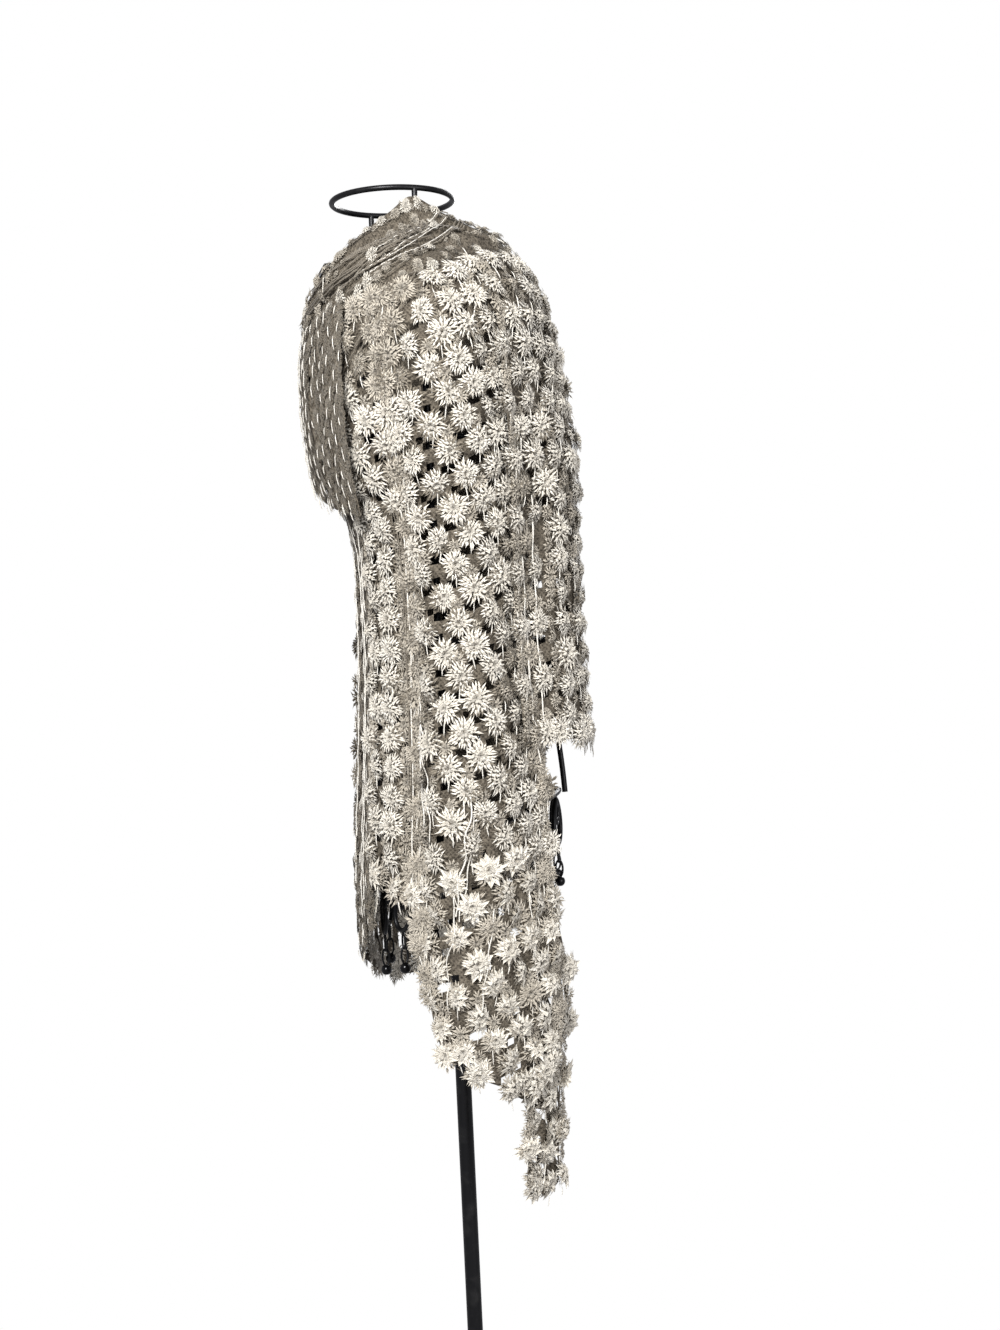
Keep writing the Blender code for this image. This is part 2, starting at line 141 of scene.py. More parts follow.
def unit(vectors: np.ndarray) -> np.ndarray:
    """Scale each row to length one."""
    return vectors / np.maximum(np.linalg.norm(vectors, axis=-1, keepdims=True), 1e-12)


# One row for each ring of the surface that the shawl hangs on:
# height, axis, half width, front and back
RINGS = (
    (0.470, 0.000, 0.1500, -0.0900, 0.1260),
    (0.600, 0.000, 0.1560, -0.0930, 0.1320),
    (0.700, 0.000, 0.1620, -0.0970, 0.1360),
    (0.800, 0.000, 0.1660, -0.0990, 0.1380),
    (0.880, 0.000, 0.1650, -0.0940, 0.1370),
    (0.980, 0.000, 0.1580, -0.0870, 0.1310),
    (1.060, 0.000, 0.1560, -0.0840, 0.1300),
    (1.150, 0.000, 0.1640, -0.0860, 0.1300),
    (1.220, 0.000, 0.1760, -0.1070, 0.1260),
    (1.280, 0.000, 0.1820, -0.1180, 0.1200),
    (1.330, 0.000, 0.1840, -0.1220, 0.1150),
    (1.375, -0.004, 0.1780, -0.1230, 0.1090),
    (1.405, -0.014, 0.1580, -0.1200, 0.1000),
    (1.430, -0.025, 0.1180, -0.1160, 0.0900),
    (1.450, -0.030, 0.0880, -0.1100, 0.0730),
    (1.470, -0.031, 0.0735, -0.1045, 0.0520),
    (1.510, -0.031, 0.0670, -0.0980, 0.0360),
)
RING_AXIS, RING_HALF_WIDTH, RING_FRONT, RING_BACK = (
    Table(tuple((ring[0], ring[column]) for ring in RINGS)) for column in (1, 2, 3, 4)
)


@dataclass(frozen=True)
class Fold:
    """A long fold down the cloth, deepest half way between its two heights."""

    angle: float
    depth: float
    half_angle: float
    top: float
    bottom: float


FOLDS = (
    Fold(-17.0, -0.011, 8.0, 1.33, 0.60),
    Fold(10.0, 0.009, 15.0, 1.34, 0.56),
    Fold(40.0, -0.009, 8.0, 1.32, 0.76),
    Fold(68.0, 0.004, 9.0, 1.34, 0.80),
    Fold(96.0, -0.006, 9.0, 1.32, 0.70),
    Fold(124.0, 0.004, 9.0, 1.30, 0.70),
    Fold(152.0, -0.010, 9.0, 1.32, 0.66),
    Fold(176.0, 0.007, 9.0, 1.28, 0.62),
    Fold(-160.0, -0.009, 9.0, 1.30, 0.66),
    Fold(-132.0, 0.006, 10.0, 1.26, 0.62),
    Fold(-106.0, -0.007, 8.0, 1.18, 0.66),
    Fold(-72.0, -0.006, 7.0, 1.16, 0.66),
)


def body_points(angle: np.ndarray, height: np.ndarray) -> np.ndarray:
    """Points of the smooth surface that the shawl hangs on.

    Args:
        angle: Degrees round the form, 0 at the wearer's left side and 90 at the back.
        height: Heights above the floor.

    Returns:
        One point for each angle and height.
    """
    turn = np.radians(angle)
    axis = RING_AXIS.read(height)
    side = np.where(np.sin(turn) >= 0.0, RING_BACK.read(height), RING_FRONT.read(height))
    half_width = RING_HALF_WIDTH.read(height)
    across = half_width * np.cos(turn)
    along = axis + np.abs(side - axis) * np.sin(turn)
    return np.stack([across, along, height + np.zeros_like(turn)], axis=-1)


def body_normals(angle: np.ndarray, height: np.ndarray) -> np.ndarray:
    """Outward directions of the smooth surface.

    Args:
        angle: Degrees round the form.
        height: Heights above the floor.

    Returns:
        One unit vector for each angle and height.
    """
    step_round = 0.5
    step_up = 0.002
    around = body_points(angle + step_round, height) - body_points(angle - step_round, height)
    upward = body_points(angle, height + step_up) - body_points(angle, height - step_up)
    return unit(np.cross(around, upward))


def fold_depth(angle: np.ndarray, height: np.ndarray) -> np.ndarray:
    """Sum of the long folds.

    Args:
        angle: Degrees round the form.
        height: Heights above the floor.

    Returns:
        How far the cloth stands out of the smooth surface.
    """
    total = np.zeros(np.broadcast(angle, height).shape)
    for fold in FOLDS:
        off = ((angle - fold.angle + 180.0) % 360.0 - 180.0) / fold.half_angle
        across = np.where(np.abs(off) < 2.0, 0.5 + 0.5 * np.cos(pi * off / 2.0), 0.0)
        along = np.clip((fold.top - height) / (fold.top - fold.bottom), 0.0, 1.0)
        total += fold.depth * across * np.sqrt(np.clip(np.sin(pi * along), 0.0, 1.0))
    return total


@dataclass(frozen=True)
class Crease:
    """A soft ridge or trough between two places of a stretch."""

    start_angle: float
    start_height: float
    end_angle: float
    end_height: float
    depth: float
    half_width: float

    def read(self, angle: np.ndarray, height: np.ndarray) -> np.ndarray:
        """How far the crease lifts the cloth.

        Args:
            angle: Degrees round the form.
            height: Heights above the floor.

        Returns:
            One lift for each place, in metres.
        """
        run_round = (self.end_angle - self.start_angle) * UNROLL
        run_down = self.end_height - self.start_height
        off_round = (angle - self.start_angle) * UNROLL
        off_down = height - self.start_height
        length = run_round ** 2 + run_down ** 2
        share = np.clip((off_round * run_round + off_down * run_down) / length, 0.0, 1.0)
        away = np.hypot(off_round - share * run_round, off_down - share * run_down)
        across = 0.5 + 0.5 * np.cos(pi * np.clip(away / self.half_width, 0.0, 1.0))
        return self.depth * across * np.clip(np.sin(pi * share), 0.0, 1.0) ** 0.6


@dataclass(frozen=True)
class Column:
    """A straight column of flowers that takes the place of the lattice beside it."""

    angle: float
    top: float
    bottom: float
    pitch: float
    half_zone: float


@dataclass(frozen=True)
class Strand:
    """Long twisted threads that lie side by side on a stretch."""

    start_angle: float
    start_height: float
    end_angle: float
    end_height: float
    count: int = 1
    spread: float = 0.0
    thickness: float = 0.00045


@dataclass(frozen=True)
class Site:
    """A place in the lattice of flowers, with the gaps below and above it."""

    line: int
    row: int
    gap: bool
    upper_gap: bool


@dataclass(frozen=True)
class Planting:
    """Places on the cloth where a small shape is repeated."""

    points: np.ndarray
    facing: np.ndarray
    across: np.ndarray
    size: np.ndarray


@dataclass(frozen=True)
class Layer:
    """How one layer of petals stands: its lift, its lean, its seed and its scales."""

    name: str
    raised: float
    tilt: float
    seed: int
    scales: tuple[float, float]


TUFTS = Layer("tufts", 0.0012, 0.35, 10, (0.80, 1.15))
UNDER_PETALS = Layer("under_petals", 0.0008, 0.10, 2, (0.90, 1.02))
PALE_UNDER_PETALS = replace(UNDER_PETALS, name="pale_under_petals")
FLOWERS = Layer("flowers", 0.0028, 0.24, 4, (0.90, 1.08))
RUFFLED_FLOWERS = Layer("ruffled_flowers", 0.0024, 0.42, 14, (0.90, 1.18))
# Muted flowers: in deep fold valleys the muting is painted shade; elsewhere they are muted at random or
# above the fade height.
MUTED_AND_SHADED_FLOWERS = Layer("sunk_flowers", 0.0024, 0.30, 8, (0.70, 0.95))
LINING_PETALS = Layer("lining_petals", -0.0014, 0.30, 12, (0.80, 1.00))


@dataclass(frozen=True)
class Bar:
    """How the thread bars lie: how far below a flower, how long, thick and lifted."""

    below: float
    length: float
    width: float
    raised: float


FACE_BAR = Bar(0.0165, 0.0150, 0.0011, 0.0034)
REVERSE_BAR = Bar(0.0040, 0.0130, 0.0010, 0.0036)
BAR_SEED = 6


class Recipe:
    """A node tree that is being built."""

    def __init__(self, tree: NodeTree) -> None:
        """Keep the tree."""
        self.tree = tree

    def node(self, kind: str, **settings: object) -> Node:
        """Add a node.

        Args:
            kind: The node's type name.
            settings: Properties to set on it.

        Returns:
            The node.
        """
        made = self.tree.nodes.new(kind)
        for name, value in settings.items():
            setattr(made, name, value)
        return made

    def link(self, source: NodeSocket, target: NodeSocket) -> None:
        """Join an output to an input."""
        self.tree.links.new(source, target)

    def join(self, source: Node, output: int | str, target: Node, index: int | str) -> None:
        """Join one node's output to another's input, both by name or number."""
        self.link(source.outputs[output], target.inputs[index])

    def feed(self, node: Node, index: int | str, value: object) -> None:
        """Set an input to a value, or join it to an output.

        Args:
            node: The node that is fed.
            index: The input's name or number.
            value: A socket to join, or a plain value.
        """
        if isinstance(value, NodeSocket):
            self.link(value, node.inputs[index])
        else:
            node.inputs[index].default_value = value

    def math(self, operation: str, first: object, second: object = 0.0) -> NodeSocket:
        """Add a math node.

        Args:
            operation: Its operation.
            first: Its first value or socket.
            second: Its second value or socket.

        Returns:
            Its output.
        """
        made = self.node("ShaderNodeMath", operation=operation)
        self.feed(made, 0, first)
        self.feed(made, 1, second)
        return made.outputs[0]

    def mix(self, share: object, low: object, high: object) -> NodeSocket:
        """Mix two colours.

        Args:
            share: Share of the second colour.
            low: First colour or socket.
            high: Second colour or socket.

        Returns:
            The mixed colour's output.
        """
        made = self.node("ShaderNodeMix", data_type="RGBA")
        self.feed(made, 0, share)
        self.feed(made, 6, low)
        self.feed(made, 7, high)
        return made.outputs[2]

    def noise(self, vector: NodeSocket, scale: float, detail: float) -> NodeSocket:
        """Add a noise texture.

        Args:
            vector: Where it is read.
            scale: Its scale.
            detail: Its detail.

        Returns:
            Its factor.
        """
        made = self.node("ShaderNodeTexNoise")
        self.link(vector, made.inputs["Vector"])
        made.inputs["Scale"].default_value = scale
        made.inputs["Detail"].default_value = detail
        return made.outputs["Fac"]

    def spread(self, value: NodeSocket, low: float, high: float,
               to_low: float = 0.0, to_high: float = 1.0) -> NodeSocket:
        """Map a range of values to another, and hold it at both ends.

        Args:
            value: The value.
            low: Start of its range.
            high: End of its range.
            to_low: What the start becomes.
            to_high: What the end becomes.

        Returns:
            The mapped value's output.
        """
        made = self.node("ShaderNodeMapRange")
        for index, setting in enumerate((value, low, high, to_low, to_high)):
            self.feed(made, index, setting)
        return made.outputs[0]


def tone_group() -> NodeTree:
    """Shader group for the slow change of tone and the fine fuzz that all threads share.

    Returns:
        The group, with the outputs Tone and Fuzz.
    """
    name = "thread_tone"
    if name in bpy.data.node_groups:
        return bpy.data.node_groups[name]
    group = bpy.data.node_groups.new(name, "ShaderNodeTree")
    group.interface.new_socket("Vector", in_out="INPUT", socket_type="NodeSocketVector")
    group.interface.new_socket("Tone", in_out="OUTPUT", socket_type="NodeSocketFloat")
    group.interface.new_socket("Fuzz", in_out="OUTPUT", socket_type="NodeSocketFloat")
    recipe = Recipe(group)
    given = recipe.node("NodeGroupInput")
    result = recipe.node("NodeGroupOutput")
    broad = recipe.noise(given.outputs["Vector"], 34.0, 2.0)
    fine = recipe.noise(given.outputs["Vector"], 900.0, 2.0)
    recipe.link(recipe.spread(broad, 0.32, 0.68), result.inputs["Tone"])
    recipe.link(recipe.spread(fine, 0.30, 0.70), result.inputs["Fuzz"])
    return group


def ray_group() -> NodeTree:
    """Shader group for threads that run out from the middle of a flower.

    Returns:
        The group, with the outputs Ray and Reach.
    """
    name = "petal_rays"
    if name in bpy.data.node_groups:
        return bpy.data.node_groups[name]
    group = bpy.data.node_groups.new(name, "ShaderNodeTree")
    group.interface.new_socket("Petal", in_out="INPUT", socket_type="NodeSocketVector")
    group.interface.new_socket("Rays", in_out="INPUT", socket_type="NodeSocketFloat")
    group.interface.new_socket("Ray", in_out="OUTPUT", socket_type="NodeSocketFloat")
    group.interface.new_socket("Reach", in_out="OUTPUT", socket_type="NodeSocketFloat")
    recipe = Recipe(group)
    given = recipe.node("NodeGroupInput")
    result = recipe.node("NodeGroupOutput")
    parts = recipe.node("ShaderNodeSeparateXYZ")
    recipe.join(given, "Petal", parts, 0)
    turn = recipe.math("ARCTAN2", parts.outputs["Y"], parts.outputs["X"])
    wobble = recipe.noise(given.outputs["Petal"], 2.6, 3.0)
    phase = recipe.math("ADD", recipe.math("MULTIPLY", turn, given.outputs["Rays"]),
                        recipe.math("MULTIPLY", wobble, 9.0))
    wave = recipe.math("SINE", phase)
    reach = recipe.math("SQRT", recipe.math(
        "ADD", recipe.math("MULTIPLY", parts.outputs["X"], parts.outputs["X"]),
        recipe.math("MULTIPLY", parts.outputs["Y"], parts.outputs["Y"])))
    recipe.link(recipe.spread(wave, -0.9, 0.5), result.inputs["Ray"])
    recipe.link(reach, result.inputs["Reach"])
    return group


@dataclass(frozen=True)
class Finish:
    """What every finish has: a name and the steps that all of them share."""

    name: str

    def start(self) -> tuple[Material, Recipe, Node]:
        """Begin a material.

        Returns:
            The material, its recipe and its Principled shader.
        """
        material = bpy.data.materials.new(self.name)
        material.use_nodes = True
        recipe = Recipe(material.node_tree)
        return material, recipe, material.node_tree.nodes["Principled BSDF"]

    def bump(self, recipe: Recipe, shader: Node, height: NodeSocket,
             strength: float, distance: float) -> None:
        """Raise the surface.

        Args:
            recipe: The material's recipe.
            shader: The shader whose normal is fed.
            height: The relief, 0 to 1.
            strength: How much of it counts.
            distance: How far 1 stands out, in metres.
        """
        node = recipe.node("ShaderNodeBump")
        node.inputs["Strength"].default_value = strength
        node.inputs["Distance"].default_value = distance
        recipe.link(height, node.inputs["Height"])
        recipe.join(node, "Normal", shader, "Normal")

    def tone(self, recipe: Recipe) -> Node:
        """Place the shared tone group, read at the piece's own place."""
        place = recipe.node("ShaderNodeTexCoord")
        group = recipe.node("ShaderNodeGroup", node_tree=tone_group())
        recipe.join(place, "Object", group, "Vector")
        return group


@dataclass(frozen=True)
class PetalFinish(Finish):
    """Fluffy petals: light threads over a darker ground, in rays from a flower's middle, with painted
    shade between the threads and towards the middle.
    """

    light: tuple[float, float, float, float]
    dark: tuple[float, float, float, float]
    shade: tuple[float, float, float, float]
    rays: float = 31.0

    def build(self) -> Material:
        """Make the material."""
        material, recipe, shader = self.start()
        petal = recipe.node("ShaderNodeAttribute", attribute_name="petal")
        rays = recipe.node("ShaderNodeGroup", node_tree=ray_group())
        recipe.join(petal, "Vector", rays, "Petal")
        rays.inputs["Rays"].default_value = self.rays
        tone = self.tone(recipe)
        # Darker between the rays of threads: partly the darker ground, partly painted shade that follows
        # the bump.
        thread = recipe.math("ADD", recipe.math("MULTIPLY", rays.outputs["Ray"], 0.46),
                             recipe.math("MULTIPLY", tone.outputs["Fuzz"], 0.34))
        # Painted shade: darker towards the flower's middle between the needles, lighter at the needle
        # tips.
        rim = recipe.spread(rays.outputs["Reach"], 0.05, 0.95, 0.12, 0.32)
        colour = recipe.mix(recipe.math("ADD", thread, rim), self.dark, self.light)
        slow = recipe.spread(tone.outputs["Tone"], 0.0, 1.0, 0.0, 0.38)
        recipe.link(recipe.mix(slow, colour, self.shade), shader.inputs["Base Color"])
        shader.inputs["Roughness"].default_value = 0.86
        shader.inputs["Sheen Weight"].default_value = 0.15
        shader.inputs["Specular IOR Level"].default_value = 0.25
        self.bump(recipe, shader, thread, 0.8, 0.0009)
        return material


@dataclass(frozen=True)
class NetFinish(Finish):
    """The ground of the lace: fine threads crossing, with painted shade where they sink."""

    light: tuple[float, float, float, float]
    dark: tuple[float, float, float, float]

    def build(self) -> Material:
        """Make the material."""
        material, recipe, shader = self.start()
        cloth = recipe.node("ShaderNodeAttribute", attribute_name="weave")
        parts = recipe.node("ShaderNodeSeparateXYZ")
        recipe.join(cloth, "Vector", parts, 0)
        tone = self.tone(recipe)
        wobble = recipe.math("MULTIPLY", tone.outputs["Fuzz"], 3.0)
        rising = recipe.math("ADD", parts.outputs["X"], parts.outputs["Y"])
        falling = recipe.math("SUBTRACT", parts.outputs["X"], parts.outputs["Y"])
        threads = [
            recipe.math("SINE", recipe.math("ADD", recipe.math("MULTIPLY", run, 1350.0), wobble))
            for run in (rising, falling)
        ]
        crossing = recipe.spread(recipe.math("MAXIMUM", *threads), -0.2, 0.9)
        place = recipe.node("ShaderNodeTexCoord")
        blotch = recipe.spread(recipe.noise(place.outputs["Object"], 330.0, 3.0), 0.36, 0.64)
        # Relief raises the bump and, as painted shade, darkens the net where the threads sink; its
        # blotches are random tone.
        relief = recipe.math("ADD", recipe.math("MULTIPLY", crossing, 0.40),
                             recipe.math("MULTIPLY", blotch, 0.60))
        slow = recipe.spread(tone.outputs["Tone"], 0.0, 1.0, 0.55, 1.0)
        recipe.link(recipe.mix(recipe.math("MULTIPLY", relief, slow), self.dark, self.light),
                    shader.inputs["Base Color"])
        shader.inputs["Roughness"].default_value = 0.9
        shader.inputs["Specular IOR Level"].default_value = 0.2
        self.bump(recipe, shader, relief, 0.7, 0.0008)
        return material


@dataclass(frozen=True)
class ThreadFinish(Finish):
    """A plied thread, with the turn of its plies as fine bands."""

    light: tuple[float, float, float, float]
    dark: tuple[float, float, float, float]

    def build(self) -> Material:
        """Make the material."""
        material, recipe, shader = self.start()
        tone = self.tone(recipe)
        place = recipe.node("ShaderNodeTexCoord")
        plies = recipe.node("ShaderNodeTexWave", bands_direction="DIAGONAL")
        plies.inputs["Scale"].default_value = 260.0
        plies.inputs["Distortion"].default_value = 2.0
        recipe.join(place, "Object", plies, "Vector")
        band = recipe.math("ADD", recipe.math("MULTIPLY", plies.outputs["Fac"], 0.6),
                           recipe.math("MULTIPLY", tone.outputs["Fuzz"], 0.4))
        recipe.link(recipe.mix(band, self.dark, self.light), shader.inputs["Base Color"])
        shader.inputs["Roughness"].default_value = 0.7
        shader.inputs["Sheen Weight"].default_value = 0.2
        self.bump(recipe, shader, band, 0.5, 0.0004)
        return material


@dataclass(frozen=True)
class MetalFinish(Finish):
    """Black painted iron wire, a little uneven, with rubbed patches."""

    paint: tuple[float, float, float, float]
    rubbed: tuple[float, float, float, float]
    gloss: float

    def build(self) -> Material:
        """Make the material."""
        material, recipe, shader = self.start()
        place = recipe.node("ShaderNodeTexCoord")
        patches = recipe.spread(recipe.noise(place.outputs["Object"], 55.0, 4.0), 0.52, 0.74)
        grain = recipe.noise(place.outputs["Object"], 1400.0, 2.0)
        recipe.link(recipe.mix(recipe.math("MULTIPLY", patches, 0.5), self.paint, self.rubbed),
                    shader.inputs["Base Color"])
        rough = recipe.math("ADD", recipe.math("MULTIPLY", patches, 0.14),
                            recipe.math("MULTIPLY", grain, 0.12))
        recipe.link(recipe.math("ADD", rough, self.gloss), shader.inputs["Roughness"])
        shader.inputs["Metallic"].default_value = 0.55
        self.bump(recipe, shader, grain, 0.25, 0.0002)
        return material


@dataclass
class Palette:
    """The finishes of the shawl and its form."""

    ivory: PetalFinish = PetalFinish(
        "ivory_petals", (0.93, 0.89, 0.80, 1), (0.36, 0.31, 0.24, 1), (0.56, 0.51, 0.42, 1))
    muted: PetalFinish = PetalFinish(
        "muted_petals", (0.68, 0.62, 0.52, 1), (0.17, 0.145, 0.11, 1), (0.30, 0.26, 0.20, 1))
    taupe: PetalFinish = PetalFinish(
        "taupe_petals", (0.31, 0.27, 0.21, 1), (0.055, 0.046, 0.034, 1), (0.12, 0.102, 0.078, 1))
    net: NetFinish = NetFinish("taupe_net", (0.22, 0.188, 0.145, 1), (0.026, 0.021, 0.015, 1))
    thread: ThreadFinish = ThreadFinish(
        "white_thread", (0.92, 0.89, 0.82, 1), (0.55, 0.51, 0.44, 1))
    dull_thread: ThreadFinish = ThreadFinish(
        "dull_thread", (0.25, 0.215, 0.165, 1), (0.07, 0.058, 0.043, 1))
    iron: MetalFinish = MetalFinish(
        "black_iron", (0.008, 0.008, 0.009, 1), (0.030, 0.029, 0.028, 1), 0.30)
    bead: MetalFinish = MetalFinish(
        "black_bead", (0.006, 0.006, 0.007, 1), (0.018, 0.018, 0.018, 1), 0.12)
    made: dict[str, Material] = field(default_factory=dict)

    def get(self, finish: Finish) -> Material:
        """Material of a finish, made the first time it is asked for."""
        if finish.name not in self.made:
            self.made[finish.name] = finish.build()
        return self.made[finish.name]


def link_object(name: str, mesh: Mesh) -> Object:
    """Put a mesh in the scene as an object at the origin."""
    made = bpy.data.objects.new(name, mesh)
    bpy.context.scene.collection.objects.link(made)
    return made


def add_vectors(mesh: Mesh, name: str, values: np.ndarray) -> None:
    """Store a vector for each vertex under a name."""
    layer = mesh.attributes.new(name, "FLOAT_VECTOR", "POINT")
    layer.data.foreach_set("vector", np.asarray(values, dtype=np.float32).ravel())


def dress(piece: Object, slot: Slot, *nodes: str) -> None:
    """Say which solids a piece replaces and what it rides on.

    Args:
        piece: The piece.
        slot: Not used.
        nodes: The solids that it stands for, none for an extra piece.
    """
    if nodes:
        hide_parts(*nodes)
    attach(piece, ROOT)


def group_input(tree: NodeTree, name: str, kind: str, value: object = None) -> None:
    """Give a tree a named input.

    Args:
        tree: The tree.
        name: The input's name.
        kind: Its socket type.
        value: Its default, where it has one.
    """
    socket = tree.interface.new_socket(name, in_out="INPUT", socket_type=kind)
    if value is not None:
        socket.default_value = value


def planting_tree(shapes: int) -> NodeTree:
    """Geometry Nodes tree that sets one of several small shapes on each point.

    Args:
        shapes: How many shapes it picks from.

    Returns:
        The tree.
    """
    tree = bpy.data.node_groups.new(f"planting_{shapes}", "GeometryNodeTree")
    group_input(tree, "Geometry", "NodeSocketGeometry")
    for number in range(shapes):
        group_input(tree, f"Shape {number}", "NodeSocketObject")
    group_input(tree, "Smallest", "NodeSocketFloat", 0.9)
    group_input(tree, "Largest", "NodeSocketFloat", 1.1)
    group_input(tree, "Seed", "NodeSocketInt", 1)
    group_input(tree, "Material", "NodeSocketMaterial")
    tree.interface.new_socket("Geometry", in_out="OUTPUT", socket_type="NodeSocketGeometry")
    recipe = Recipe(tree)
    given = recipe.node("NodeGroupInput")
    result = recipe.node("NodeGroupOutput")
    joined = recipe.node("GeometryNodeJoinGeometry")
    for number in reversed(range(shapes)):
        shape = recipe.node("GeometryNodeObjectInfo")
        shape.inputs["As Instance"].default_value = True
        recipe.link(given.outputs[f"Shape {number}"], shape.inputs["Object"])
        recipe.join(shape, "Geometry", joined, 0)
    stored = {}
    for name in ("facing", "across", "size"):
        stored[name] = recipe.node("GeometryNodeInputNamedAttribute", data_type="FLOAT_VECTOR")
        stored[name].inputs["Name"].default_value = name
    turned = recipe.node("FunctionNodeAxesToRotation", primary_axis="Z", secondary_axis="X")
    recipe.link(stored["facing"].outputs["Attribute"], turned.inputs[0])
    recipe.link(stored["across"].outputs["Attribute"], turned.inputs[1])
    scale = recipe.node("FunctionNodeRandomValue", data_type="FLOAT")
    recipe.join(given, "Smallest", scale, 2)
    recipe.join(given, "Largest", scale, 3)
    pick = recipe.node("FunctionNodeRandomValue", data_type="INT")
    pick.inputs[4].default_value = 0
    pick.inputs[5].default_value = shapes - 1
    for random_value in (scale, pick):
        recipe.join(given, "Seed", random_value, "Seed")
    sized = recipe.node("ShaderNodeVectorMath", operation="SCALE")
    recipe.link(stored["size"].outputs["Attribute"], sized.inputs[0])
    recipe.join(scale, 1, sized, "Scale")
    placed = recipe.node("GeometryNodeInstanceOnPoints")
    placed.inputs["Pick Instance"].default_value = True
    recipe.join(given, "Geometry", placed, "Points")
    recipe.join(joined, 0, placed, "Instance")
    recipe.join(pick, 2, placed, "Instance Index")
    recipe.join(turned, 0, placed, "Rotation")
    recipe.join(sized, 0, placed, "Scale")
    real = recipe.node("GeometryNodeRealizeInstances")
    recipe.join(placed, 0, real, 0)
    finish_tree(recipe, given, real.outputs[0], result)
    return tree


def finish_tree(recipe: Recipe, given: Node, geometry: NodeSocket,
                result: Node) -> None:
    """End a tree with its material.

    Args:
        recipe: The tree's recipe.
        given: Its input node, with a socket named Material.
        geometry: What is finished.
        result: Its output node.
    """
    coloured = recipe.node("GeometryNodeSetMaterial")
    recipe.link(geometry, coloured.inputs["Geometry"])
    recipe.join(given, "Material", coloured, "Material")
    recipe.join(coloured, 0, result, 0)


def sweeping_tree() -> NodeTree:
    """Geometry Nodes tree that turns chains of edges into round wire or thread.

    Returns:
        The tree.
    """
    name = "sweeping"
    if name in bpy.data.node_groups:
        return bpy.data.node_groups[name]
    tree = bpy.data.node_groups.new(name, "GeometryNodeTree")
    group_input(tree, "Geometry", "NodeSocketGeometry")
    group_input(tree, "Sides", "NodeSocketInt", 12)
    group_input(tree, "Material", "NodeSocketMaterial")
    tree.interface.new_socket("Geometry", in_out="OUTPUT", socket_type="NodeSocketGeometry")
    recipe = Recipe(tree)
    given = recipe.node("NodeGroupInput")
    result = recipe.node("NodeGroupOutput")
    girth = recipe.node("GeometryNodeInputNamedAttribute", data_type="FLOAT")
    girth.inputs["Name"].default_value = "girth"
    lines = recipe.node("GeometryNodeMeshToCurve")
    circle = recipe.node("GeometryNodeCurvePrimitiveCircle")
    swept = recipe.node("GeometryNodeCurveToMesh")
    real = recipe.node("GeometryNodeRealizeInstances")
    circle.inputs["Radius"].default_value = 1.0
    swept.inputs["Fill Caps"].default_value = True
    recipe.join(given, "Geometry", lines, 0)
    recipe.join(given, "Sides", circle, "Resolution")
    recipe.join(lines, 0, swept, "Curve")
    recipe.join(circle, 0, swept, "Profile Curve")
    recipe.join(girth, "Attribute", swept, "Scale")
    smooth = recipe.node("GeometryNodeSetShadeSmooth")
    recipe.join(swept, 0, smooth, 0)
    recipe.join(smooth, 0, real, 0)
    finish_tree(recipe, given, real.outputs[0], result)
    return tree


def grow(host: Object, tree: NodeTree, settings: dict[str, object],
         name: str) -> Object:
    """Run a tree on a host and keep its result as a plain mesh.

    Args:
        host: The object whose points or edges are used, which is removed.
        tree: The Geometry Nodes tree.
        settings: Values of the tree's named inputs.
        name: Name of the piece.

    Returns:
        The piece.
    """
    modifier = host.modifiers.new("grow", "NODES")
    modifier.node_group = tree
    for item in tree.interface.items_tree:
        if item.in_out == "INPUT" and item.name in settings:
            modifier[item.identifier] = settings[item.name]
    graph = bpy.context.evaluated_depsgraph_get()
    mesh = bpy.data.meshes.new_from_object(
        host.evaluated_get(graph), preserve_all_data_layers=True, depsgraph=graph)
    host.modifiers.remove(modifier)
    bpy.data.objects.remove(host, do_unlink=True)
    for spare in ("facing", "across", "size", "girth"):
        if spare in mesh.attributes:
            mesh.attributes.remove(mesh.attributes[spare])
    mesh.name = name
    return link_object(name, mesh)


def plant(name: str, planting: Planting, shapes: list[Object],
          material: Material, smallest: float, largest: float,
          seed: int) -> Object:
    """Set small shapes on the cloth.

    Args:
        name: Name of the piece.
        planting: Where they stand.
        shapes: What is picked from.
        material: Their finish.
        smallest: Smallest scale.
        largest: Largest scale.
        seed: Seed of the random picks.

    Returns:
        The piece.
    """
    mesh = bpy.data.meshes.new(name)
    mesh.from_pydata(planting.points.tolist(), [], [])
    add_vectors(mesh, "facing", planting.facing)
    add_vectors(mesh, "across", planting.across)
    add_vectors(mesh, "size", planting.size)
    settings = {f"Shape {number}": shape for number, shape in enumerate(shapes)}
    settings.update({"Smallest": smallest, "Largest": largest, "Seed": seed, "Material": material})
    return grow(link_object(f"{name}_host", mesh), planting_tree(len(shapes)), settings, name)


def sweep(name: str, lines: list[tuple[np.ndarray, np.ndarray, bool]], sides: int,
          material: Material) -> Object:
    """Make round wires or threads along lines.

    Args:
        name: Name of the piece.
        lines: Points, radius at each point, and whether the line closes.
        sides: Sides of the round section.
        material: The finish.

    Returns:
        The piece.
    """
    points = []
    girth = []
    edges = []
    for line, radius, closed in lines:
        first = len(points)
        points.extend(np.asarray(line).tolist())
        girth.extend(np.broadcast_to(radius, len(line)).tolist())
        edges.extend((first + i, first + i + 1) for i in range(len(line) - 1))
        if closed:
            edges.append((first + len(line) - 1, first))
    mesh = bpy.data.meshes.new(name)
    mesh.from_pydata(points, edges, [])
    layer = mesh.attributes.new("girth", "FLOAT", "POINT")
    layer.data.foreach_set("value", np.array(girth, dtype=np.float32))
    settings = {"Sides": sides, "Material": material}
    return grow(link_object(f"{name}_host", mesh), sweeping_tree(), settings, name)


@dataclass(frozen=True)
class Tier:
    """One ring of needles: how many, where they start and end, how wide and how high."""

    count: int
    inner: float
    outer: float
    width: float
    rise: float


